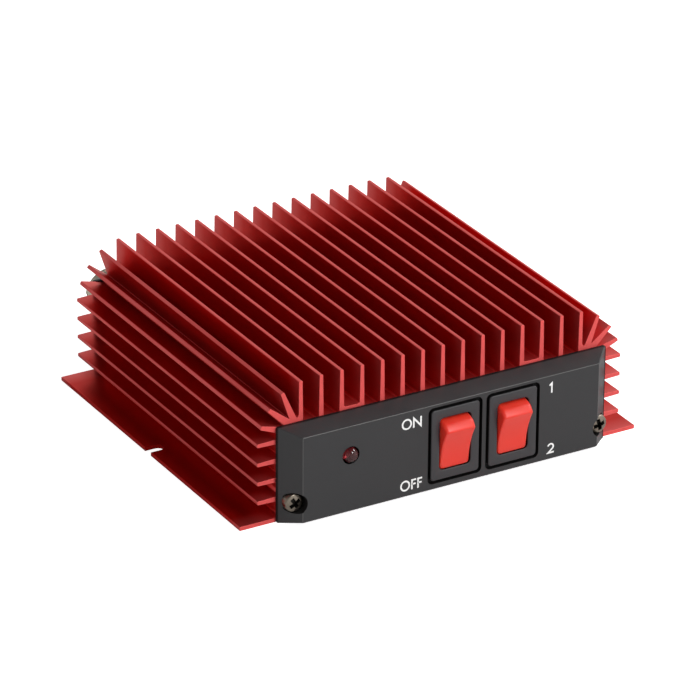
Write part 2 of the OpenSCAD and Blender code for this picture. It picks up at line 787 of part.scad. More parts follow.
module circuit_board() {
    color("#2c6b3f") difference() {
        span([-board_width / 2, board_front_y, board_bottom],
            [board_width / 2, board_front_y + board_length, board_top]);
        for (place = lead_holes) on_board(place[0], place[1]) translate([0, 0, -board_thickness - over])
            cylinder(r = place[2] + fit, h = board_thickness + 2 * over);
        both_sides() {
            for (y = pillar_y) translate([pillar_x, y, board_bottom - over])
                cylinder(r = screw_shank + slip, h = board_thickness + 2 * over);
            translate([power_device_x, device_hole_y, board_bottom - over])
                cylinder(r = driver_hole_radius, h = board_thickness + 2 * over);
            for (i = [-1 : 1]) translate([power_device_x + i * device_lead_gap, device_lead_y,
                board_bottom - over]) cylinder(r = 0.6, h = board_thickness + 2 * over);
        }
    }
}

module board_pillars() {
    color("#c9a94e") both_sides() for (y = pillar_y) translate([pillar_x, y, board_top]) {
        difference() {
            cylinder(r = pillar_radius, h = pillar_length, $fn = 6);
            translate([0, 0, -over]) cylinder(r = screw_shank + fit, h = over + 3.6);
        }
        translate([0, 0, pillar_length - joint]) cylinder(r = screw_shank, h = pillar_stud + joint);
    }
}

module board_screws() {
    color("#9a9aa0") both_sides() for (y = pillar_y) translate([pillar_x, y, board_bottom])
        cross_screw(screw_head, screw_head_height, screw_shank, board_screw_length);
}

// Two power transistors lie flat under the web, over the board
module at_devices() {
    seat = web_bottom - insulator_thickness;
    both_sides() translate([power_device_x, board_front_y + power_device_v, seat]) mirror([0, 0, 1])
        children();
}

module transistor_bodies() {
    color("#202022") at_devices() span([-tab_width / 2, 0, tab_thickness],
        [tab_width / 2, device_body_length, device_body_height]);
}

module transistor_tabs() {
    lead_z = 2.6;
    drop = web_bottom - insulator_thickness - board_bottom;
    color("#b8bcc2") at_devices() {
        difference() {
            span([-tab_width / 2, 0, 0], [tab_width / 2, tab_length, tab_thickness]);
            translate([0, tab_length - tab_hole_from_end, -over])
                cylinder(r = screw_shank + slip, h = tab_thickness + 2 * over);
        }
        for (i = [-1 : 1]) translate([i * device_lead_gap, 0, 0]) {
            span([-0.4, -3.25, lead_z], [0.4, 0, lead_z + 0.5]);
            span([-0.4, -3.25, lead_z], [0.4, -2.75, drop + 1]);
        }
    }
}

module transistor_insulators() {
    color("#d8d2be") both_sides() translate([power_device_x, board_front_y + power_device_v, web_bottom])
        mirror([0, 0, 1]) difference() {
            span([-tab_width / 2 - 1, -1, 0], [tab_width / 2 + 1, tab_length + 1, insulator_thickness]);
            translate([0, tab_length - tab_hole_from_end, -over])
                cylinder(r = screw_shank + slip, h = insulator_thickness + 2 * over);
        }
}

module transistor_screws() {
    seat = web_bottom - insulator_thickness - tab_thickness;
    color("#9a9aa0") both_sides() translate([power_device_x, device_hole_y, seat])
        cross_screw(screw_head, screw_head_height, screw_shank,
            device_screw_bite + insulator_thickness + tab_thickness);
}

// Output transformer: two ferrite sleeves over brass tubes, joined by an end plate at each end
transformer_v = board_length - 14;
sleeve_radius = 4.6;
sleeve_bore = 2.4;
sleeve_length = 15;
sleeve_gap = 9.8;
tube_wall = 0.35;
end_plate = 0.8;
end_plate_reach = 3.6;
transformer_rise = sleeve_radius + 0.4;

module at_transformer() {
    on_board(0, transformer_v) translate([0, 0, transformer_rise]) children();
}

module output_transformer_cores() {
    color("#4a4a4c") at_transformer() for (side = [-1, 1]) translate([side * sleeve_gap / 2, 0, 0])
        difference() {
            bar_y(sleeve_radius, -sleeve_length / 2, sleeve_length / 2);
            bar_y(sleeve_bore + fit, -sleeve_length, sleeve_length);
        }
}

module output_transformer_tubes() {
    outer = sleeve_length / 2 + end_plate;
    color("#c9a94e") at_transformer() difference() {
        union() {
            for (side = [-1, 1]) translate([side * sleeve_gap / 2, 0, 0])
                bar_y(sleeve_bore, -outer, outer);
            for (y = [-outer, sleeve_length / 2])
                span([-sleeve_gap / 2 - end_plate_reach, y, -transformer_rise],
                    [sleeve_gap / 2 + end_plate_reach, y + end_plate, end_plate_reach]);
        }
        for (side = [-1, 1]) translate([side * sleeve_gap / 2, 0, 0])
            bar_y(sleeve_bore - tube_wall, -outer - over, outer + over);
    }
}

// A turn of wire through two bores: up from the board, out and back round, and down to the board
module turn_of_wire(half, length, rise, r) {
    near = length / 2 + 2.2;
    foot = slip - rise;
    pull = [0, half * 0.75, 0];
    wire(concat(swing([-half, near, foot], [0, 0, rise / 2], pull / 2, [-half, length / 2 - 2, 0]),
        swing([-half, -length / 2, 0], -pull, -pull, [half, -length / 2, 0]),
        swing([half, length / 2 - 2, 0], pull / 2, [0, 0, rise / 2], [half, near, foot])), r);
}

module output_transformer_winding() {
    color("#f0efe8") at_transformer()
        turn_of_wire(sleeve_gap / 2, sleeve_length + 2 * end_plate, transformer_rise, 0.75);
}

// Input transformer: a two-hole ferrite block with a small winding
input_v = 15;
block_width = 13;
block_height = 7.4;
block_length = 11;
block_hole = 1.7;
block_gap = 5.8;

module at_input_transformer() {
    on_board(0, input_v) translate([0, 0, block_height / 2]) children();
}

module input_transformer_core() {
    color("#55504b") at_input_transformer() difference() {
        along_y(-block_length / 2, block_length)
            rounded_rectangle(block_width, block_height, block_height / 2 - 0.2);
        for (side = [-1, 1]) translate([side * block_gap / 2, 0, 0])
            bar_y(block_hole, -block_length, block_length);
    }
}

module input_transformer_winding() {
    color("#b8452e") at_input_transformer()
        turn_of_wire(block_gap / 2, block_length, block_height / 2, 0.45);
}

// Change-over relay that joins input to output while the amplifier is off
relay_size = [15.5, 19, 10];
relay_foot = 0.4;

module bypass_relay() {
    color("#2a5f9e") on_board(relay_x, relay_v)
        span([-relay_size[0] / 2, -relay_size[1] / 2, relay_foot],
            [relay_size[0] / 2, relay_size[1] / 2, relay_foot + relay_size[2]]);
}

module relay_pins() {
    color("#c8c8cc") for (place = relay_leads) lead(place, relay_foot);
}

module electrolytic_capacitors() {
    color("#1f2f4a") {
        for (place = capacitor_places) on_board(place[0], place[1])
            cylinder(r = capacitor_radius, h = capacitor_height);
        for (place = capacitor_leads) lead(place, joint);
    }
}

module disc_capacitors() {
    color("#c98a3a") {
        for (place = disc_places) on_board(place[0], place[1]) translate([0, 0, disc_radius + 0.4])
            intersection() {
                bar_y(disc_radius, -disc_thickness / 2, disc_thickness / 2);
                sphere(disc_radius + 0.05);
            }
        for (place = disc_leads) lead(place, 1.8);
    }
}

module resistors() {
    color("#c9b18a") for (place = resistor_places) on_board(place[0], place[1])
        translate([0, 0, resistor_radius + 0.25]) {
            bar_y(resistor_radius - 0.2, -resistor_half, resistor_half);
            for (end = [-1, 1]) translate([0, end * (resistor_half - 0.7), 0])
                bar_y(resistor_radius, -0.6, 0.6);
        }
}

module resistor_leads() {
    reach = resistor_half + 1.4;
    color("#c8c8cc") {
        for (place = resistor_places, y = [-reach, resistor_half]) on_board(place[0], place[1])
            translate([0, 0, resistor_radius + 0.25]) bar_y(0.28, y, y + reach - resistor_half);
        for (place = resistor_ends) lead(place, resistor_radius + 0.55);
    }
}

module diode() {
    color("#27272a") {
        on_board(diode_place[0], diode_place[1]) translate([0, 0, diode_radius + 0.4]) {
            bar_y(diode_radius, -diode_half, diode_half);
            bar_y(0.4, -diode_half - 1.6, diode_half + 1.6);
        }
        for (place = diode_leads) lead(place, diode_radius + 0.6);
    }
}

// Supply choke: a ferrite ring lying on the board, wound with one open winding
choke_x = 24;
choke_v = 13.5;
ring_radius = 4.6;
ring_half = 1.5;
ring_height = 3.4;
choke_wire = 0.4;
choke_rise = 0.3 + 2 * choke_wire;

module choke_core() {
    color("#4f5450") on_board(choke_x, choke_v) translate([0, 0, choke_rise]) difference() {
        cylinder(r = ring_radius + ring_half, h = ring_height);
        translate([0, 0, -over]) cylinder(r = ring_radius - ring_half, h = ring_height + 2 * over);
    }
}

module choke_winding() {
    turns = 9;
    sweep = 300;
    steps = 16;
    across = ring_half + choke_wire + slip;
    up = ring_height / 2 + choke_wire + slip;
    middle = choke_rise + ring_height / 2;
    // Each turn runs round the ring's square section, as a rounded square
    loop = [for (i = [0 : turns * steps]) let (a = 360 * i / steps + 180, s = sweep * i / (turns * steps),
        k = min(1 / max(abs(cos(a)), abs(sin(a))), 1.32), r = ring_radius + across * cos(a) * k)
        [r * cos(s), r * sin(s), middle + up * sin(a) * k]];
    color("#b8452e") on_board(choke_x, choke_v) wire(loop, choke_wire, 6, [0, 1, 0]);
}

// Bias trimmer: the rotor turns in its base
trimmer_x = 37;
trimmer_v = 14;
rotor_radius = 2.6;

module trimmer_base() {
    color("#3562a8") on_board(trimmer_x, trimmer_v) difference() {
        span([-3.4, -3.6, 0], [3.4, 3.6, 3.6]);
        translate([0, 0, 1.2]) cylinder(r = rotor_radius + fit, h = 3.6);
    }
}

module trimmer_rotor() {
    color("#f0efe8") on_board(trimmer_x, trimmer_v) difference() {
        translate([0, 0, 1.2 + play]) cylinder(r = rotor_radius, h = 2.9);
        for (turn = [0, 90]) rotate([0, 0, turn]) span([-1.7, -0.3, 3.4], [1.7, 0.3, 6]);
    }
}

// Two posts where the supply cord's cores are soldered
module supply_posts() {
    color("#d9c27a") for (place = post_leads) {
        on_board(place[0], place[1]) cylinder(r = post_radius, h = post_height);
        lead(place, joint);
    }
}

// ---------------------------------------------------------------- wiring

// Each wire runs straight off its terminal blade and straight up to the board's underside
module switch_wires() {
    radius = 0.7;
    color("#b03028") for (wiring = [[power_x, power_poles], [mode_x, mode_poles]], pole = wiring[1])
        wire(swing([wiring[0], terminal_end_y, face_z + pole * contact_z], [0, 5, 0], [0, 0, -4],
            [wiring[0] + 3.2 * pole, board_front_y + 4, board_bottom - slip]), radius);
}

// Short leads from the socket contacts to the board
module socket_leads() {
    radius = 1.1;
    color("#e8e4d8") for (side = [-1, 1])
        wire(swing([side * socket_x, socket_face_y + contact_tail, socket_z], [0, -6, 0], [0, 0, -4],
            [side * socket_x, board_front_y + board_length - 4, board_bottom - slip]), radius);
}

heatsink();
front_panel();
rear_panel();
bottom_cover();
front_panel_screws();
rear_panel_screws();
power_switch_housing();
power_rocker();
power_plunger();
power_plunger_spring();
power_contact_blade();
power_switch_terminals();
mode_switch_housing();
mode_rocker();
mode_plunger();
mode_plunger_spring();
mode_contact_blade();
mode_switch_terminals();
lamp_lens();
lamp_leads();
input_socket_shell();
input_socket_insulator();
input_socket_contact();
output_socket_shell();
output_socket_insulator();
output_socket_contact();
socket_washers();
socket_nuts();
ground_tags();
cord_grommet();
circuit_board();
board_pillars();
board_screws();
transistor_bodies();
transistor_tabs();
transistor_insulators();
transistor_screws();
output_transformer_cores();
output_transformer_tubes();
output_transformer_winding();
input_transformer_core();
input_transformer_winding();
bypass_relay();
relay_pins();
electrolytic_capacitors();
disc_capacitors();
resistors();
resistor_leads();
diode();
choke_core();
choke_winding();
trimmer_base();
trimmer_rotor();
supply_posts();
switch_wires();
socket_leads();
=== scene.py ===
"""Finned linear amplifier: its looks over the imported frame, and the studio around it.

Shapes are worked out in millimetres as numpy surfaces and turned into metres when their mesh is made.
"""

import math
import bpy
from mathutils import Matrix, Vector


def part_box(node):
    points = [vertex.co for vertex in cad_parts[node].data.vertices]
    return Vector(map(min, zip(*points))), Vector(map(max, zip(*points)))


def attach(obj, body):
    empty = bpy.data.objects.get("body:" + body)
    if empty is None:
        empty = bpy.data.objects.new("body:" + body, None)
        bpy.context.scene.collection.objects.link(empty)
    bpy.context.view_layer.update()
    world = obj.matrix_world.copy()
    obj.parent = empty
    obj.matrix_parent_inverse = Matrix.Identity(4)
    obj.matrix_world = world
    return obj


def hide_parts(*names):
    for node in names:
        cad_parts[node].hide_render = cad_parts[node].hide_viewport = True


bl_info = {
    "name": "Finned amplifier case",
    "version": (1, 0, 0),
    "blender": (4, 5, 0),
    "location": "3D View > Sidebar > Amplifier",
    "description": "Extruded case, moulded panels, rocker switches, lamp, sockets and studio",
    "category": "Add Mesh",
}

import bmesh
import bpy
import numpy as np
from bpy.props import FloatProperty, FloatVectorProperty, IntProperty, PointerProperty
from mathutils import Matrix, Vector
from mathutils.geometry import tessellate_polygon

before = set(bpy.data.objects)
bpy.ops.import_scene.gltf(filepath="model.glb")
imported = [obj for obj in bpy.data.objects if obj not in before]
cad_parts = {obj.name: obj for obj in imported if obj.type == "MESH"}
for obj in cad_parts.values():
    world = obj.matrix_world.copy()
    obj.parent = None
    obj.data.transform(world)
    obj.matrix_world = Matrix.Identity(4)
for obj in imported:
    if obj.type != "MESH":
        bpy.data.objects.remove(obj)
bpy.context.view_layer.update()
MM = 0.001
OPEN = 1e3


def extent(node):
    """Lowest and highest corner of a CAD node, in millimetres."""
    low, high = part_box(node)
    return np.array(low) / MM, np.array(high) / MM


def middle(node):
    """Middle of a CAD node's box, in millimetres."""
    return sum(extent(node)) / 2


# ------------------------------------------------------------------ places taken from the frame

CASE_LOW, CASE_HIGH = extent("heatsink")
FRONT_Y, REAR_Y = CASE_LOW[1], CASE_HIGH[1]
MIDDLE_Y = (FRONT_Y + REAR_Y) / 2
FLANGE_HALF = CASE_HIGH[0]
PANEL_LOW, PANEL_HIGH = extent("front_panel")
PANEL_DEPTH = FRONT_Y - PANEL_LOW[1]
PANEL_HALF = PANEL_HIGH[0]
PANEL_BOTTOM, PANEL_TOP = 0.03, 28.95
FACE_Y = PANEL_LOW[1]
POWER_X, _, FACE_Z = middle("power_switch_housing")
MODE_X = middle("mode_switch_housing")[0]
LAMP_X, LAMP_Z = middle("lamp_leads")[0], 18.0
(_, LAMP_TIP_Y, _), (LAMP_FLAT_X, LAMP_BACK_Y, _) = extent("lamp_lens")
SOCKET_X, _, SOCKET_Z = middle("output_socket_shell")
SOCKET_FACE_Y = REAR_Y + PANEL_DEPTH
_, BOARD_FRONT_Y, BOARD_BOTTOM = extent("circuit_board")[0]

# Cross-section of the extrusion
WEB_TOP, WEB_BOTTOM = 29.4, 26.4
GAP_FLOOR, RAISED_FLOOR = 28.06, 29.8
BODY_HALF, INNER_HALF = 51.0, 49.0
FIN_PITCH, FIN_HEIGHT = 6.4, 11.75
FIN_TIP, FIN_ROOT = 1.1, 1.5
PORT_X, PORT_Z, PORT_RADIUS, PORT_BORE = 49.0, 6.7, 2.6, 1.45
CORNER_FINS = ((20.5, -0.3, -2.2, 6.9), (50, -1.2, -0.8, 7.5), (69, -4, 0, 9.75))
LAST_FIN = 7
SIDE_FINS = tuple(7 + 5.8 * i for i in range(4))
SIDE_TIP = BODY_HALF + 7.3
CROTCHES = ((50.99, 26.5, 0.8), (49.35, 28.15, 0.6), (48.35, 30.25, 0.35), (46.05, 29.9, 0.5))

# Panels and switches
FACE_HALF, FACE_BOTTOM, FACE_TOP = 47.4, 1.0, 26.8
PANEL_LIP, PANEL_WALL = 1.0, 2.4
SCREW_SEAT, SCREW_HEAD, SCREW_RADIUS = 1.9, 2.7, 2.82
POCKET = (8.68, 11.72, 1.6)
BEZEL = (7.7, 10.75, 0.95)
PIVOT_DEPTH = 3.7
PIVOT_Y = FACE_Y - 0.2 + PIVOT_DEPTH
ROCKER_TILT = math.radians(16)
OPENING = (5.05, 8.8, 1.4)
LEAD_GAP = 2.54


# ------------------------------------------------------------------ settings

def size_setting(name, description, default, low, high):
    """Length setting, its numbers given in millimetres."""
    return FloatProperty(name=name, description=description, default=default * MM, min=low * MM,
                         max=high * MM, precision=5, subtype="DISTANCE", unit="LENGTH")


def colour_setting(name, description, default):
    """Colour setting."""
    return FloatVectorProperty(name=name, description=description, default=default,
                               min=0.0, max=1.0, subtype="COLOR")


class AMP_PG_case(bpy.types.PropertyGroup):
    """Sizes and finish of the extruded case."""
    end_chamfer: size_setting(
        "End chamfer", "Chamfer along the sawn ends of the extrusion", 0.06, 0.0, 0.4)
    root_fillet: size_setting("Root fillet", "Radius where a fin meets the web", 0.5, 0.1, 1.6)
    tip_round: size_setting("Tip rounding", "Radius along the edges of a fin's tip", 0.28, 0.0, 0.5)
    colour: colour_setting(
        "Anodised colour", "Colour of the dyed anodised skin", (0.58, 0.006, 0.004))
    # The sawn ends are lighter and pinker than the anodised skin: partly a rougher sawn finish, partly
    # painted light falling on the ends.
    lit_cut_colour: colour_setting("Cut end colour", "Colour of the sawn ends", (0.8, 0.095, 0.09))
    roughness: FloatProperty(
        name="Roughness", description="Roughness of the anodised skin",
        default=0.36, min=0.05, max=1.0, subtype="FACTOR")


class AMP_PG_panel(bpy.types.PropertyGroup):
    """Sizes and finish of the moulded panels and their lettering."""
    edge_round: size_setting("Edge rounding", "Rounding along the moulding's edges", 0.26, 0.0, 0.6)
    colour: colour_setting(
        "Plastic colour", "Colour of the moulded plastic", (0.024, 0.0233, 0.0248))
    ink: colour_setting("Lettering colour", "Colour of the printed legends", (0.9, 0.9, 0.89))
    stroke: size_setting("Stroke width", "Width of the lettering's strokes", 0.5, 0.1, 0.8)


class AMP_PG_switch(bpy.types.PropertyGroup):
    """Sizes and finish of the rocker switches."""
    rocker_round: size_setting(
        "Rocker rounding", "Rounding between a rocker's face and its sides", 0.45, 0.1, 1.2)
    colour: colour_setting("Rocker colour", "Colour of the rockers' plastic", (0.82, 0.038, 0.019))


class AMP_PG_lamp(bpy.types.PropertyGroup):
    """Finish of the indicator lamp."""
    tint: colour_setting("Lens tint", "Colour of the unlit lens", (0.20, 0.02, 0.025))


class AMP_PG_socket(bpy.types.PropertyGroup):
    """Sizes of the aerial sockets."""
    thread_pitch: size_setting(
        "Thread pitch", "Advance of the socket's thread in one turn", 1.06, 0.6, 2.0)
    thread_depth: size_setting("Thread depth", "Depth of the socket's thread", 0.5, 0.0, 0.8)
    sides: IntProperty(
        name="Steps round", description="Number of steps round a turned part",
        default=96, min=24, max=192)


class AMP_PG_stage(bpy.types.PropertyGroup):
    """Camera, floor and lights."""
    lens: FloatProperty(
        name="Focal length", description="Focal length on a 36 mm wide sensor, in millimetres",
        default=254.78, min=20.0, max=400.0)
    floor: colour_setting("Floor colour", "Colour of the plain floor", (0.9, 0.9, 0.9))
    sky: FloatProperty(
        name="Tent brightness", description="Strength of the even white light all round",
        default=0.84, min=0.0, max=4.0)
    key: FloatProperty(
        name="Key light", description="Power of the soft light at the upper right, in watts",
        default=6.0, min=0.0, max=200.0)


# ------------------------------------------------------------------ surfaces

def grid_faces(rows, columns, close_rows=False, close_columns=True):
    """Quads of a grid of points: (r, c), (r, c + 1), (r + 1, c + 1), (r + 1, c), wrapped where closed."""
    r = np.arange(rows if close_rows else rows - 1)[:, None]
    c = np.arange(columns if close_columns else columns - 1)[None, :]
    r2, c2 = (r + 1) % rows, (c + 1) % columns
    quads = [r * columns + c, r * columns + c2, r2 * columns + c2, r2 * columns + c]
    return np.stack(quads, -1).reshape(-1, 4)


class Shell:
    """Collects surfaces given as arrays and makes one welded mesh object of them."""

    def __init__(self):
        self.points, self.faces, self.slots, self.rims, self.count = [], [], [], [], 0

    def add(self, points, faces, slot=0, rim=0.0):
        """Adds points (n, 3) in millimetres and faces by index; slot and rim may be arrays."""
        points = np.array(points, float).reshape(-1, 3)
        faces = [[i + self.count for i in face] for face in np.asarray(faces).tolist()]
        self.points.append(points)
        self.faces += faces
        self.slots += np.broadcast_to(slot, len(faces)).tolist()
        self.rims.append(np.broadcast_to(rim, len(points)))
        self.count += len(points)
        return self

    def grid(self, points, close_rows=False, close_columns=True, **more):
        """Adds a grid of points of shape (rows, columns, 3)."""
        points = np.asarray(points, float)
        return self.add(points, grid_faces(*points.shape[:2], close_rows, close_columns), **more)

    def loft(self, rings, slot=0):
        """Adds a skin through rings of equal length, each end closed with one flat face; slot may
        give one value for each band between two rings."""
        rings = np.asarray(rings, float)
        n = rings.shape[1]
        bands = np.broadcast_to(slot, len(rings) - 1)
        self.grid(rings, slot=np.repeat(bands, n))
        self.add(rings[0], [list(range(n))], slot=bands[0])
        self.add(rings[-1], [list(range(n))], slot=bands[-1])
        return self

    def mesh(self, name, materials=()):
        """Welded mesh in metres, with its faces outwards and its slots filled."""
        data = bpy.data.meshes.new(name)
        for material in materials:
            data.materials.append(material)
        data.from_pydata((np.concatenate(self.points) * MM).tolist(), [], self.faces)
        data.polygons.foreach_set("material_index", np.array(self.slots, np.int32))
        if any(np.any(rim) for rim in self.rims):
            layer = data.attributes.new("rim", "FLOAT", "POINT")
            layer.data.foreach_set("value", np.concatenate(self.rims).astype(np.float32))
        return weld(data)

    def build(self, name, materials, body="case", replaces=(), slot=None, angle=35.0):
        """Object of the welded mesh, riding on a body, with edges sharper than angle kept crisp."""
        return settle(self.mesh(name, materials), name, body, replaces, angle)


def weld(data):
    """Merges points closer than a tenth of a micrometre and turns all faces outwards."""
    bm = bmesh.new()
    bm.from_mesh(data)
    bmesh.ops.remove_doubles(bm, verts=bm.verts, dist=1e-7)
    bmesh.ops.recalc_face_normals(bm, faces=bm.faces)
    bm.to_mesh(data)
    bm.free()
    return data


def settle(data, name, body="case", replaces=(), angle=35.0):
    """Makes an object of a finished mesh and ties it to the frame."""
    data.shade_smooth()
    data.set_sharp_from_angle(angle=math.radians(angle))
    piece = bpy.data.objects.new(name, data)
    bpy.context.scene.collection.objects.link(piece)
    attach(piece, body)
    if replaces:
        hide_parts(*replaces)
    return piece


def ease(piece, width):
    """Rounds the piece's edges, then evens its shading."""
    bevel = piece.modifiers.new("Rounded edges", "BEVEL")
    bevel.width, bevel.segments = width, 2
    bevel.limit_method, bevel.angle_limit = "ANGLE", math.radians(28)
    bevel.harden_normals = False
    even_shading(piece)


def even_shading(piece):
    """Lets the larger faces lead the shading, and keeps the sharp edges."""
    even = piece.modifiers.new("Even shading", "WEIGHTED_NORMAL")
    even.keep_sharp = True


def carve(data, cutters):
    """Mesh with each closed cutter mesh taken away in turn, its flat faces joined up again."""
    body = bpy.data.objects.new("carved", data)
    bpy.context.scene.collection.objects.link(body)
    tools = []
    for cutter in cutters:
        tool = bpy.data.objects.new("cutter", cutter)
        bpy.context.scene.collection.objects.link(tool)
        cut = body.modifiers.new("cut", "BOOLEAN")
        cut.operation, cut.solver, cut.object = "DIFFERENCE", "EXACT", tool
        tools.append(tool)
    bpy.context.view_layer.update()
    graph = bpy.context.evaluated_depsgraph_get()
    result = bpy.data.meshes.new_from_object(body.evaluated_get(graph))
    for thing in [body] + tools:
        bpy.data.objects.remove(thing)
    bm = bmesh.new()
    bm.from_mesh(result)
    bmesh.ops.remove_doubles(bm, verts=bm.verts, dist=1e-6)
    bmesh.ops.dissolve_limit(bm, angle_limit=math.radians(0.4), verts=bm.verts, edges=bm.edges,
                              delimit={"MATERIAL"})
    bm.to_mesh(result)
    bm.free()
    return result


def joined(data, other):
    """Mesh with a second mesh added to it."""
    bm = bmesh.new()
    bm.from_mesh(data)
    bm.from_mesh(other)
    bm.to_mesh(data)
    bm.free()
    return data


def box_ring(x0, x1, z0, z1, radius, y, steps=5):
    """Ring in the plane y: corner centre + radius (cos t, sin t), with t over a quarter turn at
    each corner."""
    t = np.linspace(0, np.pi / 2, steps + 1)[None, :] + (np.arange(4) * np.pi / 2)[:, None]
    cx = np.array([x1 - radius, x0 + radius, x0 + radius, x1 - radius])[:, None]
    cz = np.array([z1 - radius, z1 - radius, z0 + radius, z0 + radius])[:, None]
    x, z = cx + radius * np.cos(t), cz + radius * np.sin(t)
    return np.stack([x.ravel(), np.full(x.size, float(y)), z.ravel()], -1)


def box_rings(rows, centre=(0, 0)):
    """Rings of centred rounded rectangles; each row is (half width, half height, radius, y)."""
    x, z = centre
    return np.array([box_ring(x - w, x + w, z - h, z + h, r, y) for w, h, r, y in rows])


def turned(profile, centre, sides=64):
    """Surface of revolution about a line along Y: for a profile point (h, r) the surface is
    centre + (r cos t, h, r sin t), with t once round."""
    profile = np.asarray(profile, float)
    t = np.linspace(0, 2 * np.pi, sides, endpoint=False)
    h, r = profile[:, 0][:, None], profile[:, 1][:, None]
    shape = np.broadcast_shapes(h.shape, t[None, :].shape)
    points = np.stack([r * np.cos(t), np.broadcast_to(h, shape), r * np.sin(t)], -1)
    return points + np.asarray(centre, float)


def turn_piece(name, look, node, slot, profile, centre, sides, angle=40, ring=True):
    """Piece made of one surface of revolution; a ring's profile closes on itself."""
    shell = Shell().grid(turned(profile, centre, sides), close_rows=ring)
    shell.build(name, [finish(look)], replaces=(node,), slot=slot, angle=angle)


def wire_piece(name, look, node, slot, paths, radius, body="case", **more):
    """Piece made of round wires along their paths."""
    shell = Shell()
    for path in paths:
        shell.loft(tube(path, radius, **more))
    shell.build(name, [finish(look)], body=body, replaces=(node,), slot=slot)


def tube(path, radius, sides=16, first=(0.31, 0.52, 0.8)):
    """Round wire along a path: p(s) + radius (cos a n(s) + sin a b(s)), with n carried along the
    path by taking away its part along the tangent at each step."""
    path = np.asarray(path, float)
    tangent = np.gradient(path, axis=0)
    tangent /= np.linalg.norm(tangent, axis=1, keepdims=True)
    normal = np.empty_like(path)
    n = np.array(first, float)
    for i, t in enumerate(tangent):
        n = n - t * np.dot(n, t)
        n = n / np.linalg.norm(n)
        normal[i] = n
    side = np.cross(tangent, normal)
    a = np.linspace(0, 2 * np.pi, sides, endpoint=False)[None, :, None]
    return path[:, None, :] + radius * (np.cos(a) * normal[:, None, :] + np.sin(a) * side[:, None, :])


def swing(start, out, back, end, steps=14):
    """Wire path with straight ends: start, then the cubic curve (1-t)^3 a + 3t(1-t)^2 (a + out)
    + 3t^2 (1-t) (b + back) + t^3 b between points half a millimetre inside, then end."""
    start, out, back, end = (np.array(v, float) for v in (start, out, back, end))
    a = start + out / np.linalg.norm(out) / 2
    b = end + back / np.linalg.norm(back) / 2
    t = np.linspace(0, 1, steps + 1)[:, None]
    curve = (a * (1 - t) ** 3 + 3 * (a + out) * t * (1 - t) ** 2
             + 3 * (b + back) * t * t * (1 - t) + b * t ** 3)
    return np.vstack([start, curve, end])


def rounded(corners, steps=3):
    """Outline with each corner (x, z, r) turned into (1-t)^2 a + 2t(1-t) p + t^2 b, where a and b
    lie r before and after the corner p; a short side is shared between its two corners by radius."""
    corners = np.asarray(corners, float)
    p, r = corners[:, :2], corners[:, 2:3]
    before, after = np.roll(p, 1, 0) - p, np.roll(p, -1, 0) - p
    la = np.linalg.norm(before, axis=1, keepdims=True)
    lb = np.linalg.norm(after, axis=1, keepdims=True)
    share_a = 0.96 * r / np.maximum(r + np.roll(r, 1, 0), 1e-9)
    share_b = 0.96 * r / np.maximum(r + np.roll(r, -1, 0), 1e-9)
    a = p + before / la * np.minimum(r, share_a * la)
    b = p + after / lb * np.minimum(r, share_b * lb)
    t = np.linspace(0, 1, steps + 1)[None, :, None]
    curve = (1 - t) ** 2 * a[:, None] + 2 * t * (1 - t) * p[:, None] + t * t * b[:, None]
    points = curve.reshape(-1, 2)
    keep = np.linalg.norm(points - np.roll(points, 1, 0), axis=1) > 1e-6
    return points[keep]


def inset(outline, distance):
    """Outline moved inwards by distance along the normal of the chord between each point's neighbours."""
    chord = np.roll(outline, -1, 0) - np.roll(outline, 1, 0)
    chord /= np.linalg.norm(chord, axis=1, keepdims=True)
    normal = np.stack([-chord[:, 1], chord[:, 0]], -1)
    area = np.sum(outline[:, 0] * np.roll(outline[:, 1], -1) - outline[:, 1] * np.roll(outline[:, 0], -1))
    return outline + distance * normal * np.sign(area)


# ------------------------------------------------------------------ shader groups

def place(tree, kind, inputs=None, **settings):
    """Adds a node; inputs maps a socket's name or number to a value or to another node's output."""
    node = tree.nodes.new(kind)
    for key, value in settings.items():
        setattr(node, key, value)
    return plug(tree, node, inputs or {})


def plug(tree, node, inputs):
    """Sets a node's inputs from values, and links those given as another node's output."""
    for key, value in inputs.items():
        if isinstance(value, bpy.types.NodeSocket):
            tree.links.new(value, node.inputs[key])
        else:
            node.inputs[key].default_value = value
    return node


def maths(tree, operation, a, b=0.0, clamp=False):
    """Output of a Math node."""
    return place(tree, "ShaderNodeMath", {0: a, 1: b}, operation=operation, use_clamp=clamp).outputs[0]


def new_group(name, inputs, outputs):
    """Empty shader group with named sockets; returns the tree, its inputs and its output node."""
    tree = bpy.data.node_groups.new(name, "ShaderNodeTree")
    for label, kind, value in inputs:
        socket = tree.interface.new_socket(name=label, in_out="INPUT", socket_type=kind)
        if value is not None:
            socket.default_value = value
    for label, kind in outputs:
        tree.interface.new_socket(name=label, in_out="OUTPUT", socket_type=kind)
    return tree, tree.nodes.new("NodeGroupInput").outputs, tree.nodes.new("NodeGroupOutput")


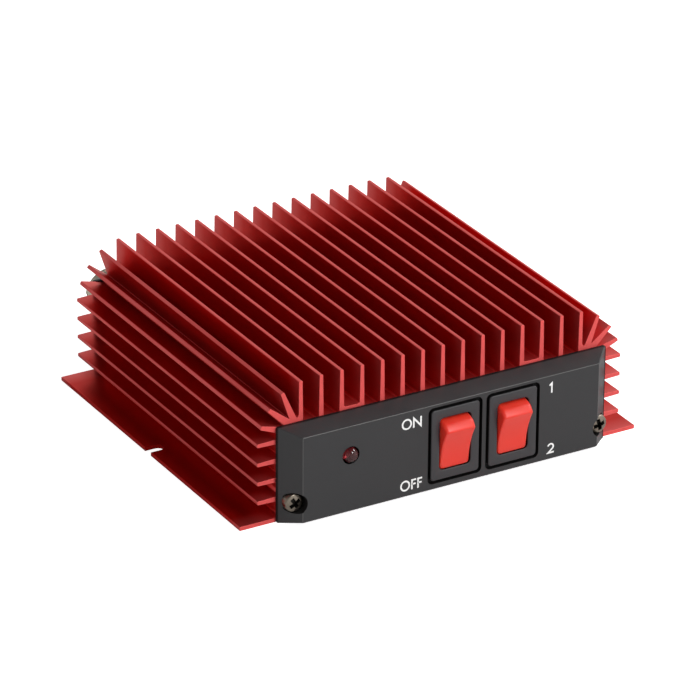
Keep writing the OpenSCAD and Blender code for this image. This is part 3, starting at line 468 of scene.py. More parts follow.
def grain_group():
    """Moulded or blasted grain: fine bumps, and slow blotches in tone."""
    tree, given, out = new_group(
        "Fine Grain",
        [("Vector", "NodeSocketVector", None), ("Grain Size", "NodeSocketFloat", 0.00018),
         ("Blotch Size", "NodeSocketFloat", 0.009)],
        [("Height", "NodeSocketFloat"), ("Tone", "NodeSocketFloat")])
    fine = place(tree, "ShaderNodeTexNoise",
                 {"Vector": given["Vector"], "Scale": maths(tree, "DIVIDE", 1.0, given["Grain Size"]),
                  "Detail": 2.0, "Roughness": 0.6})
    pits = place(tree, "ShaderNodeTexVoronoi",
                 {"Vector": given["Vector"], "Scale": maths(tree, "DIVIDE", 0.7, given["Grain Size"])})
    slow = place(tree, "ShaderNodeTexNoise",
                 {"Vector": given["Vector"], "Scale": maths(tree, "DIVIDE", 1.0, given["Blotch Size"]),
                  "Detail": 4.0, "Roughness": 0.55})
    height = maths(tree, "ADD", maths(tree, "MULTIPLY", fine.outputs[0], 0.65),
                   maths(tree, "MULTIPLY", pits.outputs["Distance"], 0.35))
    plug(tree, out, {"Height": height, "Tone": slow.outputs[0]})
    return tree


def streak_group():
    """Die lines and brush marks: noise drawn out along Y."""
    tree, given, out = new_group(
        "Drawn Streaks",
        [("Vector", "NodeSocketVector", None), ("Line Size", "NodeSocketFloat", 0.00035),
         ("Stretch", "NodeSocketFloat", 140.0)],
        [("Height", "NodeSocketFloat"), ("Tone", "NodeSocketFloat")])
    across = maths(tree, "DIVIDE", 1.0, given["Line Size"])
    along = maths(tree, "DIVIDE", across, given["Stretch"])
    scale = place(tree, "ShaderNodeCombineXYZ", {0: across, 1: along, 2: across})
    drawn = place(tree, "ShaderNodeVectorMath", {0: given["Vector"], 1: scale.outputs[0]},
                  operation="MULTIPLY")
    lines = place(tree, "ShaderNodeTexNoise", {"Vector": drawn.outputs[0], "Scale": 1.0, "Detail": 3.0})
    bands = place(tree, "ShaderNodeTexNoise", {"Vector": drawn.outputs[0], "Scale": 0.13, "Detail": 2.0})
    plug(tree, out, {"Height": lines.outputs[0], "Tone": bands.outputs[0]})
    return tree


def tone_group():
    """Lightens and darkens a colour by a tone around one half."""
    tree, given, out = new_group(
        "Tone Shift",
        [("Color", "NodeSocketColor", (0.5, 0.5, 0.5, 1.0)), ("Tone", "NodeSocketFloat", 0.5),
         ("Amount", "NodeSocketFloat", 0.2)],
        [("Color", "NodeSocketColor")])
    swing_value = maths(tree, "MULTIPLY", maths(tree, "SUBTRACT", given["Tone"], 0.5), 2.0)
    factor = maths(tree, "ADD", 1.0, maths(tree, "MULTIPLY", swing_value, given["Amount"]))
    scaled = place(tree, "ShaderNodeVectorMath", {0: given["Color"]}, operation="SCALE")
    tree.links.new(factor, scaled.inputs["Scale"])
    tree.links.new(scaled.outputs[0], out.inputs["Color"])
    return tree


def rim_highlight_group():
    """Mask of a painted highlight: the rim attribute broken up by a tone."""
    tree, given, out = new_group(
        "Painted Rim Highlight",
        [("Tone", "NodeSocketFloat", 0.5), ("Amount", "NodeSocketFloat", 0.6)],
        [("Mask", "NodeSocketFloat")])
    rim = place(tree, "ShaderNodeAttribute", attribute_name="rim")
    broken = maths(tree, "ADD", 0.55, maths(tree, "MULTIPLY", given["Tone"], 0.9))
    rim_glint = maths(tree, "MULTIPLY", rim.outputs["Fac"], broken)
    mask = maths(tree, "MULTIPLY", rim_glint, given["Amount"], True)
    tree.links.new(mask, out.inputs["Mask"])
    return tree


GROUPS = {}


def group(tree, name, inputs=None):
    """Places one of the shared groups in a material."""
    makers = {"Fine Grain": grain_group, "Drawn Streaks": streak_group,
              "Tone Shift": tone_group, "Painted Rim Highlight": rim_highlight_group}
    if name not in GROUPS:
        GROUPS[name] = makers[name]()
    return place(tree, "ShaderNodeGroup", inputs, node_tree=GROUPS[name])


# ------------------------------------------------------------------ materials

def base(name):
    """New node material; returns it with its tree, shader and object coordinates."""
    material = bpy.data.materials.new(name)
    material.use_nodes = True
    tree = material.node_tree
    shader = tree.nodes["Principled BSDF"]
    coordinates = tree.nodes.new("ShaderNodeTexCoord").outputs["Object"]
    return material, tree, shader, coordinates


def spread(tree, value, low, high):
    """Value from 0.3 to 0.7 mapped onto low to high."""
    node = place(tree, "ShaderNodeMapRange", {"Value": value, "From Min": 0.3, "From Max": 0.7,
                                              "To Min": low, "To Max": high})
    return node.outputs[0]


def bump(tree, shader, height, strength, distance):
    """Feeds a height into the shader's normal."""
    node = place(tree, "ShaderNodeBump", {"Height": height, "Strength": strength, "Distance": distance})
    tree.links.new(node.outputs[0], shader.inputs["Normal"])


def grained(tree, where, size, blotch):
    """Height and Tone of the shared grain."""
    inputs = {"Vector": where, "Grain Size": size, "Blotch Size": blotch}
    return group(tree, "Fine Grain", inputs).outputs


def streaked(tree, where, size, stretch):
    """Height and Tone of the shared streaks."""
    inputs = {"Vector": where, "Line Size": size, "Stretch": stretch}
    return group(tree, "Drawn Streaks", inputs).outputs


def toned(tree, colour, tone, amount):
    """Colour, given as three numbers or as an output, lightened and darkened by a tone."""
    if not isinstance(colour, bpy.types.NodeSocket):
        colour = (*colour, 1.0)
    return group(tree, "Tone Shift", {"Color": colour, "Tone": tone, "Amount": amount}).outputs[0]


def textured(tree, shader, texture, colour, amount, rough, strength, depth):
    """Lets a texture's tone lead the shader's colour and roughness, and its height the bumps."""
    shade = toned(tree, colour, texture["Tone"], amount)
    plug(tree, shader, {"Base Color": shade, "Roughness": spread(tree, texture["Tone"], *rough)})
    bump(tree, shader, texture["Height"], strength, depth)


def moulded(name, colour, roughness, size, depth, tone, specular=0.5, coat=0.0, deep=0.0):
    """Plastic, rubber or ceramic with a fine grain and a slow change of tone."""
    material, tree, shader, where = base(name)
    rough = roughness * 0.88, min(1.0, roughness * 1.14)
    textured(tree, shader, grained(tree, where, size, size * 45), colour, tone, rough, 0.6, depth)
    plug(tree, shader, {"Specular IOR Level": specular, "Subsurface Weight": deep,
                        "Subsurface Scale": 0.002})
    if coat:
        plug(tree, shader, {"Coat Weight": coat, "Coat Roughness": 0.12})
    return material


def metal(name, colour, roughness, size, depth, tone, drawn=False):
    """Bare or plated metal, brushed along Y where drawn, finely grained elsewhere."""
    material, tree, shader, where = base(name)
    texture = streaked(tree, where, size, 120.0) if drawn else grained(tree, where, size, size * 30)
    rough = roughness * 0.8, min(1.0, roughness * 1.25)
    textured(tree, shader, texture, colour, tone, rough, 0.5, depth)
    shader.inputs["Metallic"].default_value = 1.0
    return material


def anodised(name, colour, roughness):
    """Dyed anodised aluminium: a metal skin with faint die lines along the extrusion, and a painted
    highlight along the fins' tips and fillet lines.
    """
    material, tree, shader, where = base(name)
    lines = streaked(tree, where, 0.0005, 220.0)
    grain = grained(tree, where, 0.0001, 0.014)
    shade = toned(tree, toned(tree, colour, lines["Tone"], 0.16), grain["Tone"], 0.14)
    # Where the rim mask is set, a lighter colour is mixed in: a painted highlight.
    highlight_mask = group(tree, "Painted Rim Highlight", {"Tone": grain["Tone"], "Amount": 0.85})
    mixed = place(tree, "ShaderNodeMix", {"Factor": highlight_mask.outputs[0]}, data_type="RGBA")
    tree.links.new(shade, mixed.inputs["A"])
    highlight_colour_input = 7
    mixed.inputs[highlight_colour_input].default_value = (*(min(1.0, c * 1.05 + 0.11) for c in colour), 1.0)
    plug(tree, shader, {
        "Base Color": mixed.outputs["Result"],
        "Roughness": spread(tree, lines["Tone"], roughness * 0.88, roughness * 1.12),
        "Metallic": 0.82, "Specular IOR Level": 0.3, "Specular Tint": (1.0, 0.6, 0.55, 1.0),
        "Coat Weight": 0.15, "Coat Roughness": 0.25})
    height = maths(tree, "ADD", maths(tree, "MULTIPLY", lines["Height"], 0.7),
                   maths(tree, "MULTIPLY", grain["Height"], 0.5))
    bump(tree, shader, height, 0.5, 0.000012)
    return material


def sawn(name, colour):
    """Sawn and dyed end of the extrusion: rougher, with fine marks across it, in a lighter colour that is
    partly painted light.
    """
    material, tree, shader, where = base(name)
    turn = place(tree, "ShaderNodeMapping", {"Vector": where, "Rotation": (math.radians(90), 0.0, 0.35)})
    marks = streaked(tree, turn.outputs[0], 0.0002, 40.0)
    grain = grained(tree, where, 0.0001, 0.004)
    shade = toned(tree, toned(tree, colour, marks["Tone"], 0.12), grain["Tone"], 0.16)
    plug(tree, shader, {"Base Color": shade, "Roughness": spread(tree, grain["Tone"], 0.42, 0.56),
                        "Metallic": 0.4})
    bump(tree, shader, marks["Height"], 0.45, 0.00001)
    return material


def tinted_lens(name, colour):
    """Clear tinted resin with slight unevenness inside its polish."""
    material, tree, shader, where = base(name)
    texture = grained(tree, where, 0.0004, 0.002)
    textured(tree, shader, texture, colour, 0.15, (0.05, 0.1), 0.1, 0.000004)
    plug(tree, shader, {"Transmission Weight": 0.8, "IOR": 1.5})
    return material


def finishes():
    """All materials by name, made once. Each row has the label, the colour, the roughness, the
    grain's size and depth in metres and the amount of change in tone; then come, for a plastic,
    its specular level, coat and subsurface share, and for a metal whether it is drawn."""
    scene = bpy.context.scene
    case, panel, switch, lamp = scene.amp_case, scene.amp_panel, scene.amp_switch, scene.amp_lamp
    plastics = {
        "panel": ("Panel plastic", tuple(panel.colour), 0.45, 0.00022, 0.000022, 0.1),
        # Lighter plastic for a thin band round the panel's face: a painted highlight.
        "edge highlight": ("Painted edge highlight", (0.075, 0.072, 0.071), 0.4, 0.00022, 0.00001, 0.1),
        # Near-black plastic on the panels' lip, back and hollow, the pockets, head recesses and lamp hole,
        # and the switch bodies: painted shade.
        "recess": ("Painted shade plastic", (0.0045, 0.004, 0.004), 0.6, 0.00022, 0.00002, 0.1, 0.25),
        "ink": ("White ink", tuple(panel.ink), 0.55, 0.0001, 0.000004, 0.05),
        "housing": ("Switch plastic", (0.034, 0.032, 0.035), 0.42, 0.00014, 0.00001, 0.08),
        "rocker": ("Rocker plastic", tuple(switch.colour), 0.36, 0.0002, 0.000006, 0.05, 0.5, 0.0, 0.7),
        "cream": ("Cream insulator", (0.76, 0.7, 0.56), 0.4, 0.0002, 0.000008, 0.08),
        "rubber": ("Black rubber", (0.012, 0.012, 0.013), 0.62, 0.00025, 0.00002, 0.18),
        "white plastic": ("White plastic", (0.74, 0.72, 0.66), 0.35, 0.00018, 0.000006, 0.05),
        "board": ("Coated board", (0.03, 0.15, 0.055), 0.32, 0.0003, 0.000008, 0.16, 0.5, 0.3),
        "device": ("Device resin", (0.016, 0.016, 0.018), 0.48, 0.00016, 0.00001, 0.12),
        "pad": ("Thermal pad", (0.62, 0.58, 0.46), 0.6, 0.0003, 0.00001, 0.08),
        "ferrite": ("Ferrite", (0.055, 0.054, 0.058), 0.55, 0.0003, 0.00003, 0.2),
        "white wire": ("White insulation", (0.8, 0.79, 0.74), 0.38, 0.0003, 0.000006, 0.05),
        "red wire": ("Red insulation", (0.45, 0.03, 0.02), 0.36, 0.0003, 0.000006, 0.06),
        "blue case": ("Blue case", (0.025, 0.11, 0.32), 0.32, 0.0002, 0.000006, 0.06),
        "sleeve": ("Capacitor sleeve", (0.013, 0.027, 0.07), 0.3, 0.0003, 0.000006, 0.08, 0.5, 0.3),
        "disc": ("Ceramic disc", (0.56, 0.27, 0.05), 0.45, 0.0003, 0.000012, 0.12),
        "resistor": ("Resistor body", (0.58, 0.43, 0.25), 0.42, 0.0002, 0.000012, 0.08),
    }
    metals = {
        # Near-black metal deep in the screws' cross recesses: painted shade.
        "pit shade": ("Painted pit shade", (0.03, 0.027, 0.024), 0.5, 0.0001, 0.000006, 0.15),
        "screw": ("Dark plated steel", (0.24, 0.205, 0.165), 0.32, 0.00014, 0.000006, 0.25),
        "nickel": ("Nickel plate", (0.62, 0.56, 0.45), 0.24, 0.00015, 0.000003, 0.1),
        "washer": ("Zinc plate", (0.52, 0.52, 0.52), 0.32, 0.00014, 0.000004, 0.12),
        "brass": ("Brass", (0.72, 0.53, 0.24), 0.28, 0.00014, 0.000003, 0.12),
        "cover": ("Brushed cover", (0.62, 0.63, 0.64), 0.34, 0.00022, 0.000006, 0.1, True),
        "plain steel": ("Plain steel", (0.5, 0.5, 0.52), 0.3, 0.00014, 0.000004, 0.12),
        "spring": ("Spring steel", (0.6, 0.6, 0.62), 0.22, 0.00008, 0.000001, 0.08),
        "copper": ("Contact copper", (0.72, 0.38, 0.2), 0.3, 0.0001, 0.000002, 0.14),
        "tinned": ("Tinned wire", (0.66, 0.65, 0.62), 0.35, 0.0001, 0.000003, 0.12),
        "tab": ("Tinned tab", (0.55, 0.56, 0.58), 0.36, 0.00014, 0.000004, 0.12),
        "enamel": ("Enamelled copper", (0.5, 0.13, 0.05), 0.25, 0.0001, 0.000001, 0.15),
    }
    made = {key: moulded(*row) for key, row in plastics.items()}
    made.update({key: metal(*row) for key, row in metals.items()})
    made["anodised"] = anodised("Anodised red", tuple(case.colour), case.roughness)
    made["sawn"] = sawn("Sawn red end", tuple(case.lit_cut_colour))
    made["lens"] = tinted_lens("Lamp resin", tuple(lamp.tint))
    return made


def finish(name):
    """One material, from the set made on first use."""
    if "all" not in FINISHES:
        FINISHES["all"] = finishes()
    return FINISHES["all"][name]


FINISHES = {}


# ------------------------------------------------------------------ case

def fin_top(i):
    """Height of upright fin i; the outermost one is a little lower."""
    return WEB_TOP + FIN_HEIGHT - (0.3 if i == LAST_FIN else 0)


def right_half():
    """Right half of the extrusion's cross-section as corners (x, z, rounding), from inside round
    to the top."""
    case = bpy.context.scene.amp_case
    root, tip = case.root_fillet / MM, case.tip_round / MM
    swell = np.radians(np.linspace(90, 247.4, 15))
    flare = FIN_ROOT / 2
    corners = [(46.5, WEB_BOTTOM, 0.4), (INNER_HALF, 23.9, 0.4)]
    corners += [(PORT_X + PORT_RADIUS * math.cos(a), PORT_Z + PORT_RADIUS * math.sin(a), 0.0)
                for a in swell]
    corners += [(46.5, 4.3, 0.2), (46.5, 3.0, 0.1), (48.1, 3.0, 0.1), (48.1, 1.3, 0.1), (46.5, 1.3, 0.1),
                (46.5, 0.0, 0.3), (FLANGE_HALF, 0.0, 0.22), (FLANGE_HALF, 1.2, 0.22), (BODY_HALF, 1.2, 0.6),
                (BODY_HALF, 4.9, 0.3)]
    for i, z in enumerate(SIDE_FINS):
        wall = BODY_HALF + (0.55 if i == 0 else 0)
        corners += [(wall, z - flare, root * 0.72), (SIDE_TIP, z - FIN_TIP / 2, tip),
                    (SIDE_TIP, z + FIN_TIP / 2, tip), (wall, z + flare, root * 0.72)]
        if i == 0:
            corners += [(BODY_HALF, 8.8, 0.3)]
    for (angle, dx, dz, length), crotch in zip(CORNER_FINS, CROTCHES):
        a = math.radians(angle)
        along = np.array([math.cos(a), math.sin(a)])
        normal = np.array([-along[1], along[0]])
        end = np.array([BODY_HALF + dx, WEB_TOP + dz]) + along * length
        corners += [crotch, (*(end - normal * FIN_TIP / 2), tip), (*(end + normal * FIN_TIP / 2), tip)]
    corners += [CROTCHES[3], (LAST_FIN * FIN_PITCH + FIN_TIP / 2 + 0.05, 30.7, 0.5)]
    for i in range(LAST_FIN, -1, -1):
        x, top = i * FIN_PITCH, fin_top(i)
        if i < LAST_FIN:
            floor, r = root_of(i, 4)
            corners += [(x + flare + r + step, floor, 0.0) for step in (0.3, 0.15)]
            corners.append((x + flare, floor, r))
        corners.append((x + FIN_TIP / 2, top, tip))
        if i:
            floor, r = root_of(i, 5)
            corners += [(x - FIN_TIP / 2, top, tip), (x - flare, floor, r)]
            corners += [(x - flare - r - step, floor, 0.0) for step in (0.15, 0.3)]
    return corners


def root_of(i, raised):
    """Floor level and fillet radius beside fin i; the floor is higher beside fin number raised."""
    root = bpy.context.scene.amp_case.root_fillet / MM
    return (RAISED_FLOOR, root * 1.1) if i == raised else (GAP_FLOOR, root)


def root_lines():
    """Where each fillet runs out onto its floor, and the corner fins' crotches: (x, z, reach)."""
    lines = [(*CROTCHES[1][:2], 0.5), (*CROTCHES[2][:2], 0.45), (*CROTCHES[3][:2], 0.4)]
    for i in range(LAST_FIN + 1):
        for side, raised in ((1, 4), (-1, 5)):
            floor, r = root_of(i, raised)
            lines.append((i * FIN_PITCH + side * (FIN_ROOT / 2 + r + 0.08), floor, 0.17))
    lines = np.array(lines)
    return np.vstack([lines, lines * (-1, 1, 1)])


def tip_mask(outline):
    """One on each fin's tip, falling to zero at the lower end of its rounding: 1 + (q - c) . u / r
    for a tip at c with its fin along u."""
    tips = [(i * FIN_PITCH, fin_top(i), 90) for i in range(LAST_FIN + 1)]
    tips += [(SIDE_TIP, z, 0) for z in SIDE_FINS]
    for angle, dx, dz, length in CORNER_FINS:
        a = math.radians(angle)
        tips.append((BODY_HALF + dx + length * math.cos(a), WEB_TOP + dz + length * math.sin(a), angle))
    tips = np.array(tips)
    u = np.radians(tips[:, 2])
    offset = np.stack([np.abs(outline[:, :1]) - tips[:, 0], outline[:, 1:] - tips[:, 1]], -1)
    depth = offset[..., 0] * np.cos(u) + offset[..., 1] * np.sin(u)
    reach = bpy.context.scene.amp_case.tip_round / MM
    near = np.hypot(offset[..., 0], offset[..., 1]) < 1.0
    return np.max(near * np.clip(1 + depth / reach, 0, 1), axis=1)


def build_case():
    """The outline is carried along Y. Near the middle the flange's reach is clamped to
    c - sqrt(r^2 - dy^2), which makes a notch with a round end, and the ends are chamfered."""
    chamfer = bpy.context.scene.amp_case.end_chamfer / MM
    right = right_half()
    left = [(-x, z, r) for x, z, r in reversed(right)]
    outline = rounded(right + left)
    ends = inset(outline, chamfer)
    turn = np.sin(np.linspace(-np.pi / 2, np.pi / 2, 15))
    notch_radius, straight, clear = 1.8, 3.2, 6
    notch = MIDDLE_Y + notch_radius * turn
    reach = FLANGE_HALF - straight - notch_radius * np.sqrt(1 - turn ** 2)
    before = [FRONT_Y, FRONT_Y + chamfer, *np.linspace(FRONT_Y + clear, notch[0] - clear, 5), notch[0]]
    after = [notch[-1], *np.linspace(notch[-1] + clear, REAR_Y - clear, 5), REAR_Y - chamfer, REAR_Y]
    y = np.concatenate([before, notch, after])
    limit = np.full(len(y), OPEN)
    limit[len(before):-len(after)] = reach
    rows = np.repeat(outline[None], len(y), 0)
    rows[0], rows[-1] = ends, ends
    x, z = rows[..., 0], rows[..., 1]
    x = np.sign(x) * np.minimum(np.abs(x), np.where(z < 1.3, limit[:, None], OPEN))
    points = np.stack([x, np.broadcast_to(y[:, None], x.shape), z], -1)
    # The rim mask marks the fins' tips, the lines where the fillets meet the floors and the rows at the
    # sawn ends; the anodised skin is painted lighter there as a highlight.
    rim = tip_mask(outline)
    lines = root_lines()
    away = np.hypot(outline[:, :1] - lines[:, 0], outline[:, 1:] - lines[:, 1]) / lines[:, 2]
    low = np.clip(1.25 - np.min(away, axis=1), 0, 1)
    rim = np.broadcast_to(np.maximum(rim, low), x.shape).copy()
    rim[[0, 1, -2, -1]] = 1.0
    shell = Shell()
    slots = np.zeros((len(y) - 1, len(outline)), int)
    slots[[0, -1]] = 1
    shell.grid(points, slot=slots.ravel(), rim=rim.ravel())
    t = np.linspace(0, 2 * np.pi, 32, endpoint=False)
    bores = []
    for side in (-1, 1):
        radii = np.array([PORT_BORE + chamfer, PORT_BORE, PORT_BORE, PORT_BORE + chamfer])[:, None]
        depth = np.array([FRONT_Y, FRONT_Y + chamfer, REAR_Y - chamfer, REAR_Y])[:, None]
        bore = np.stack([side * PORT_X + radii * np.cos(t), np.broadcast_to(depth, (4, 32)),
                         PORT_Z + radii * np.sin(t)], -1)
        shell.grid(bore)
        bores.append(bore)
    for row, cap_y in ((0, FRONT_Y), (-1, REAR_Y)):
        loops = [ends] + [bore[row][:, ::2] for bore in bores]
        flat = np.concatenate(loops)
        triangles = tessellate_polygon([[Vector((p[0], p[1], 0)) for p in loop] for loop in loops])
        cap = np.stack([flat[:, 0], np.full(len(flat), cap_y), flat[:, 1]], -1)
        shell.add(cap, [list(t) for t in triangles], slot=1, rim=0.6)
    piece = shell.build("case_extrusion", [finish("anodised"), finish("sawn")], replaces=("heatsink",),
                        slot="anodised_red", angle=32)
    even_shading(piece)


def build_cover():
    """Plate with eased edges: rounded rectangles stacked along Z."""
    low, high = extent("bottom_cover")
    ease_by = 0.25
    rows = [(ease_by, low[2]), (0, low[2] + ease_by), (0, high[2] - ease_by), (ease_by, high[2])]
    rings = []
    for gap, z in rows:
        ring = box_ring(low[0] + gap, high[0] - gap, low[1] + gap, high[1] - gap, 1.0 - gap, z)
        rings.append(ring[:, [0, 2, 1]])
    Shell().loft(rings).build(
        "sliding_cover", [finish("cover")], replaces=("bottom_cover",), slot="cover_metal")


# ------------------------------------------------------------------ panels

def panel_blank():
    """Panel in its own frame: y = 0 at the extrusion and the face at y = -depth. Rectangles at
    stated depths are joined by straight walls, outside and then round into the hollow behind. The
    lip, the back and the hollow are near-black plastic as painted shade, and a thin band round the
    face is lighter plastic as a painted highlight."""
    d, edge, lip = PANEL_DEPTH, 0.1, PANEL_HALF + 0.25
    hollow = (45.6, 3.4, 25.1, 0.8)
    rows = [
        (FACE_HALF - 0.3, FACE_BOTTOM + 0.3, FACE_TOP - 0.3, 0.35, -d),
        (FACE_HALF - edge, FACE_BOTTOM + edge, FACE_TOP - edge, 0.35, -d),
        (FACE_HALF + edge, FACE_BOTTOM - edge, FACE_TOP + edge / 2, 0.35, -d + edge),
        (PANEL_HALF, PANEL_BOTTOM, PANEL_TOP, 0.35, -PANEL_LIP),
        (lip, PANEL_BOTTOM, PANEL_TOP, 0.35, -PANEL_LIP + 0.02),
        (lip, PANEL_BOTTOM, PANEL_TOP, 0.35, 0),
        (*hollow, 0),
        (*hollow, -d + PANEL_WALL),
    ]
    rings = [box_ring(-w, w, z0, z1, r, y) for w, z0, z1, r, y in rows]
    # The band at the face's edge takes the lighter plastic as a painted highlight.
    return Shell().loft(rings, slot=[0, 2, 0, 1, 1, 1, 1])


def drill(shell, x, z, radius, y0, y1, sides=48, slot=0):
    """Adds a closed cylinder along Y to a shell."""
    profile = [(y0, 0), (y0, radius), (y1, radius), (y1, 0)]
    shell.grid(turned(profile, (x, 0, z), sides), slot=slot)


def panel_tongues(shell, flip, y0):
    """Two tongues that slide under the web behind a panel."""
    for side in (-1, 1):
        rings = [box_ring(side * 29 - 5, side * 29 + 5, 24.3, 26.3, 0.3, y0 + flip * y)
                 for y in (-PANEL_DEPTH + PANEL_WALL - 0.1, 6)]
        shell.loft(rings)
    return shell


def to_end(shell, flip, y0):
    """Moves a shell from a panel's own frame to the front (flip 1) or to the rear, mirrored (flip -1)."""
    for points in shell.points:
        points[:, 1] = y0 + flip * points[:, 1]
    return shell


def finish_panel(name, node, blank, cutters, extra, flip, y0):
    """Carves a panel, adds what stands behind it and rounds its edges."""
    materials = [finish("panel"), finish("recess"), finish("edge highlight")]
    cutting = [to_end(cutter, flip, y0).mesh("cutter", materials) for cutter in cutters]
    carved = carve(to_end(blank, flip, y0).mesh(name, materials), cutting)
    data = joined(carved, extra.mesh("behind", materials))
    piece = settle(data, name, replaces=(node,), angle=30)
    ease(piece, bpy.context.scene.amp_panel.edge_round)


def screw_cutters(first, second):
    """Recesses for the heads and holes for the shanks at a panel's two ends."""
    for side in (-1, 1):
        # The head recesses' walls are near-black plastic: painted shade.
        drill(first, side * PORT_X, PORT_Z, 3.1, -PANEL_DEPTH - 1, -SCREW_SEAT, 40, 1)
        drill(second, side * PORT_X, PORT_Z, 1.5, -SCREW_SEAT - 0.5, 1, 24)


def build_front_panel():
    """Front panel with two switch pockets, a lamp hole and two screw recesses."""
    wide, through = Shell(), Shell()
    screw_cutters(wide, through)
    for x in (POWER_X, MODE_X):
        # The pockets' walls are near-black plastic: painted shade.
        pocket = [(*POCKET, -PANEL_DEPTH - 1), (*POCKET, -PANEL_DEPTH + 1.25)]
        wide.loft(box_rings(pocket, (x, FACE_Z)), slot=1)
        through.loft(box_rings([(6.6, 9.6, 0.3, -PANEL_DEPTH), (6.6, 9.6, 0.3, -1)], (x, FACE_Z)))
    bore = 2.65
    # The lamp hole's wall is near-black plastic: painted shade.
    drill(wide, LAMP_X, LAMP_Z, bore, -PANEL_DEPTH - 1, -1, slot=1)
    extra = panel_tongues(Shell(), 1, FRONT_Y)
    back = FRONT_Y - PANEL_DEPTH + PANEL_WALL
    boss = [(back - 0.1, bore), (back + 3.6, bore), (back + 3.6, 4.35), (back - 0.1, 4.35)]
    extra.grid(turned(boss, (LAMP_X, 0, LAMP_Z), 48), close_rows=True)
    finish_panel("front_moulding", "front_panel", panel_blank(), [wide, through], extra, 1, FRONT_Y)


def build_rear_panel():
    """Rear panel with holes for two aerial sockets and the cord's grommet."""
    wide, through = Shell(), Shell()
    screw_cutters(wide, through)
    for x in (-SOCKET_X, SOCKET_X):
        drill(wide, x, SOCKET_Z, 8.44, -PANEL_DEPTH - 1, 1, 64)
        drill(through, x, SOCKET_Z, 9.24, -PANEL_DEPTH + PANEL_WALL, 1, 64)
    drill(wide, 0, SOCKET_Z, 4.45, -PANEL_DEPTH - 1, 1)
    extra = panel_tongues(Shell(), -1, REAR_Y)
    finish_panel("rear_moulding", "rear_panel", panel_blank(), [wide, through], extra, -1, REAR_Y)


def cross_pit(x, z, depth, half_length=1.75, half_width=0.46):
    """Depth of a cross recess: depth where the nearer axis is within half_width and the further
    one within half_length, with sloping flanks, by two clamped ramps."""
    near, far = np.minimum(np.abs(x), np.abs(z)), np.maximum(np.abs(x), np.abs(z))
    across = np.clip((half_width + 0.12 - near) / 0.12, 0, 1)
    along = np.clip((half_length - far) / 0.45, 0, 1)
    return depth * np.minimum(across, along)


def pan_head(big=SCREW_RADIUS, height=SCREW_HEAD, length=9.0, sides=112):
    """Pan head about +Y with its seat at y = 0: crown height h(r) = H - 0.75 (r / R)^2, a rounded
    shoulder, and the cross recess taken from the crown. Returns the points and each face's slot."""
    crown, turned_over, drop, shank_radius = 0.75, 0.55, 1.15, 1.4
    r = np.concatenate([np.linspace(0, big - 0.8, 38), np.linspace(big - 0.75, big - turned_over, 3)])
    t = np.linspace(0, 2 * np.pi, sides, endpoint=False)
    x, z = r[:, None] * np.cos(t), r[:, None] * np.sin(t)
    pit = cross_pit(x, z, 1.5)
    top = np.stack([x, height - crown * (r[:, None] / big) ** 2 - pit, z], -1)
    a = np.linspace(0, np.pi / 2, 7)[1:]
    edge = height - crown * (r[-1] / big) ** 2
    shoulder = np.stack([edge - drop * (1 - np.cos(a)), big - turned_over + turned_over * np.sin(a)], -1)
    end = length - 0.2
    thread = np.arange(0.5, end, 0.125)
    foot = [(0.05, big), (0, big - 0.1), (0, shank_radius)]
    side_rows = turned(np.vstack([shoulder, foot]), (0, 0, 0), sides)
    h = -thread[:, None]
    wave = np.abs(2 * ((h / 0.5 - t / (2 * np.pi)) % 1) - 1)
    radius = shank_radius - 0.18 * wave * np.clip((end - thread[:, None]) / 0.5, 0, 1)
    shank = np.stack([radius * np.cos(t), np.broadcast_to(h, radius.shape), radius * np.sin(t)], -1)
    tip = turned([(-length, 1.0), (-length, 0)], (0, 0, 0), sides)
    points = np.concatenate([top, side_rows, shank, tip])
    slots = np.zeros((len(points) - 1, sides), int)
    # Faces deep in the cross recess take the second, near-black material: painted shade.
    slots[:len(r) - 1] = (pit[:-1] + pit[1:]) / 2 > 0.35
    return points, slots.ravel()


def build_panel_screws():
    """Two pan-head screws in each panel, each turned a little differently."""
    for node, name, flip, y0, turns in (("front_panel_screws", "front_screws", -1, FRONT_Y, (0.55, 0.25)),
                                        ("rear_panel_screws", "rear_screws", 1, REAR_Y, (1.1, 0.8))):
        shell = Shell()
        for side, turn in zip((-1, 1), turns):
            head, slots = pan_head()
            x = head[..., 0] * math.cos(turn) - head[..., 2] * math.sin(turn)
            z = head[..., 0] * math.sin(turn) + head[..., 2] * math.cos(turn)
            points = np.stack([side * PORT_X + x, y0 + flip * (SCREW_SEAT + head[..., 1]), PORT_Z + z], -1)
            shell.grid(points, slot=slots)
        shell.build(name, [finish("screw"), finish("pit shade")], replaces=(node,),
                    slot="screw_steel", angle=40)


def build_transistor_screws():
    """Pan-head screws up through the transistors, ending half a millimetre inside the web."""
    low, high = extent("transistor_screws")
    tab, radius = 1.27, 2.6
    seat = extent("transistor_insulators")[0][2] - tab
    head, slots = pan_head(radius, 1.9, GAP_FLOOR - 0.5 - seat)
    shell = Shell()
    for side in (-1, 1):
        across, back = side * (high[0] - radius), (low[1] + high[1]) / 2
        points = [across + head[..., 0], back + head[..., 2], seat - head[..., 1]]
        shell.grid(np.stack(points, -1), slot=slots)
    shell.build("device_screws", [finish("plain steel"), finish("pit shade")],
                replaces=("transistor_screws",), slot="plain_steel", angle=40)


# ------------------------------------------------------------------ lettering

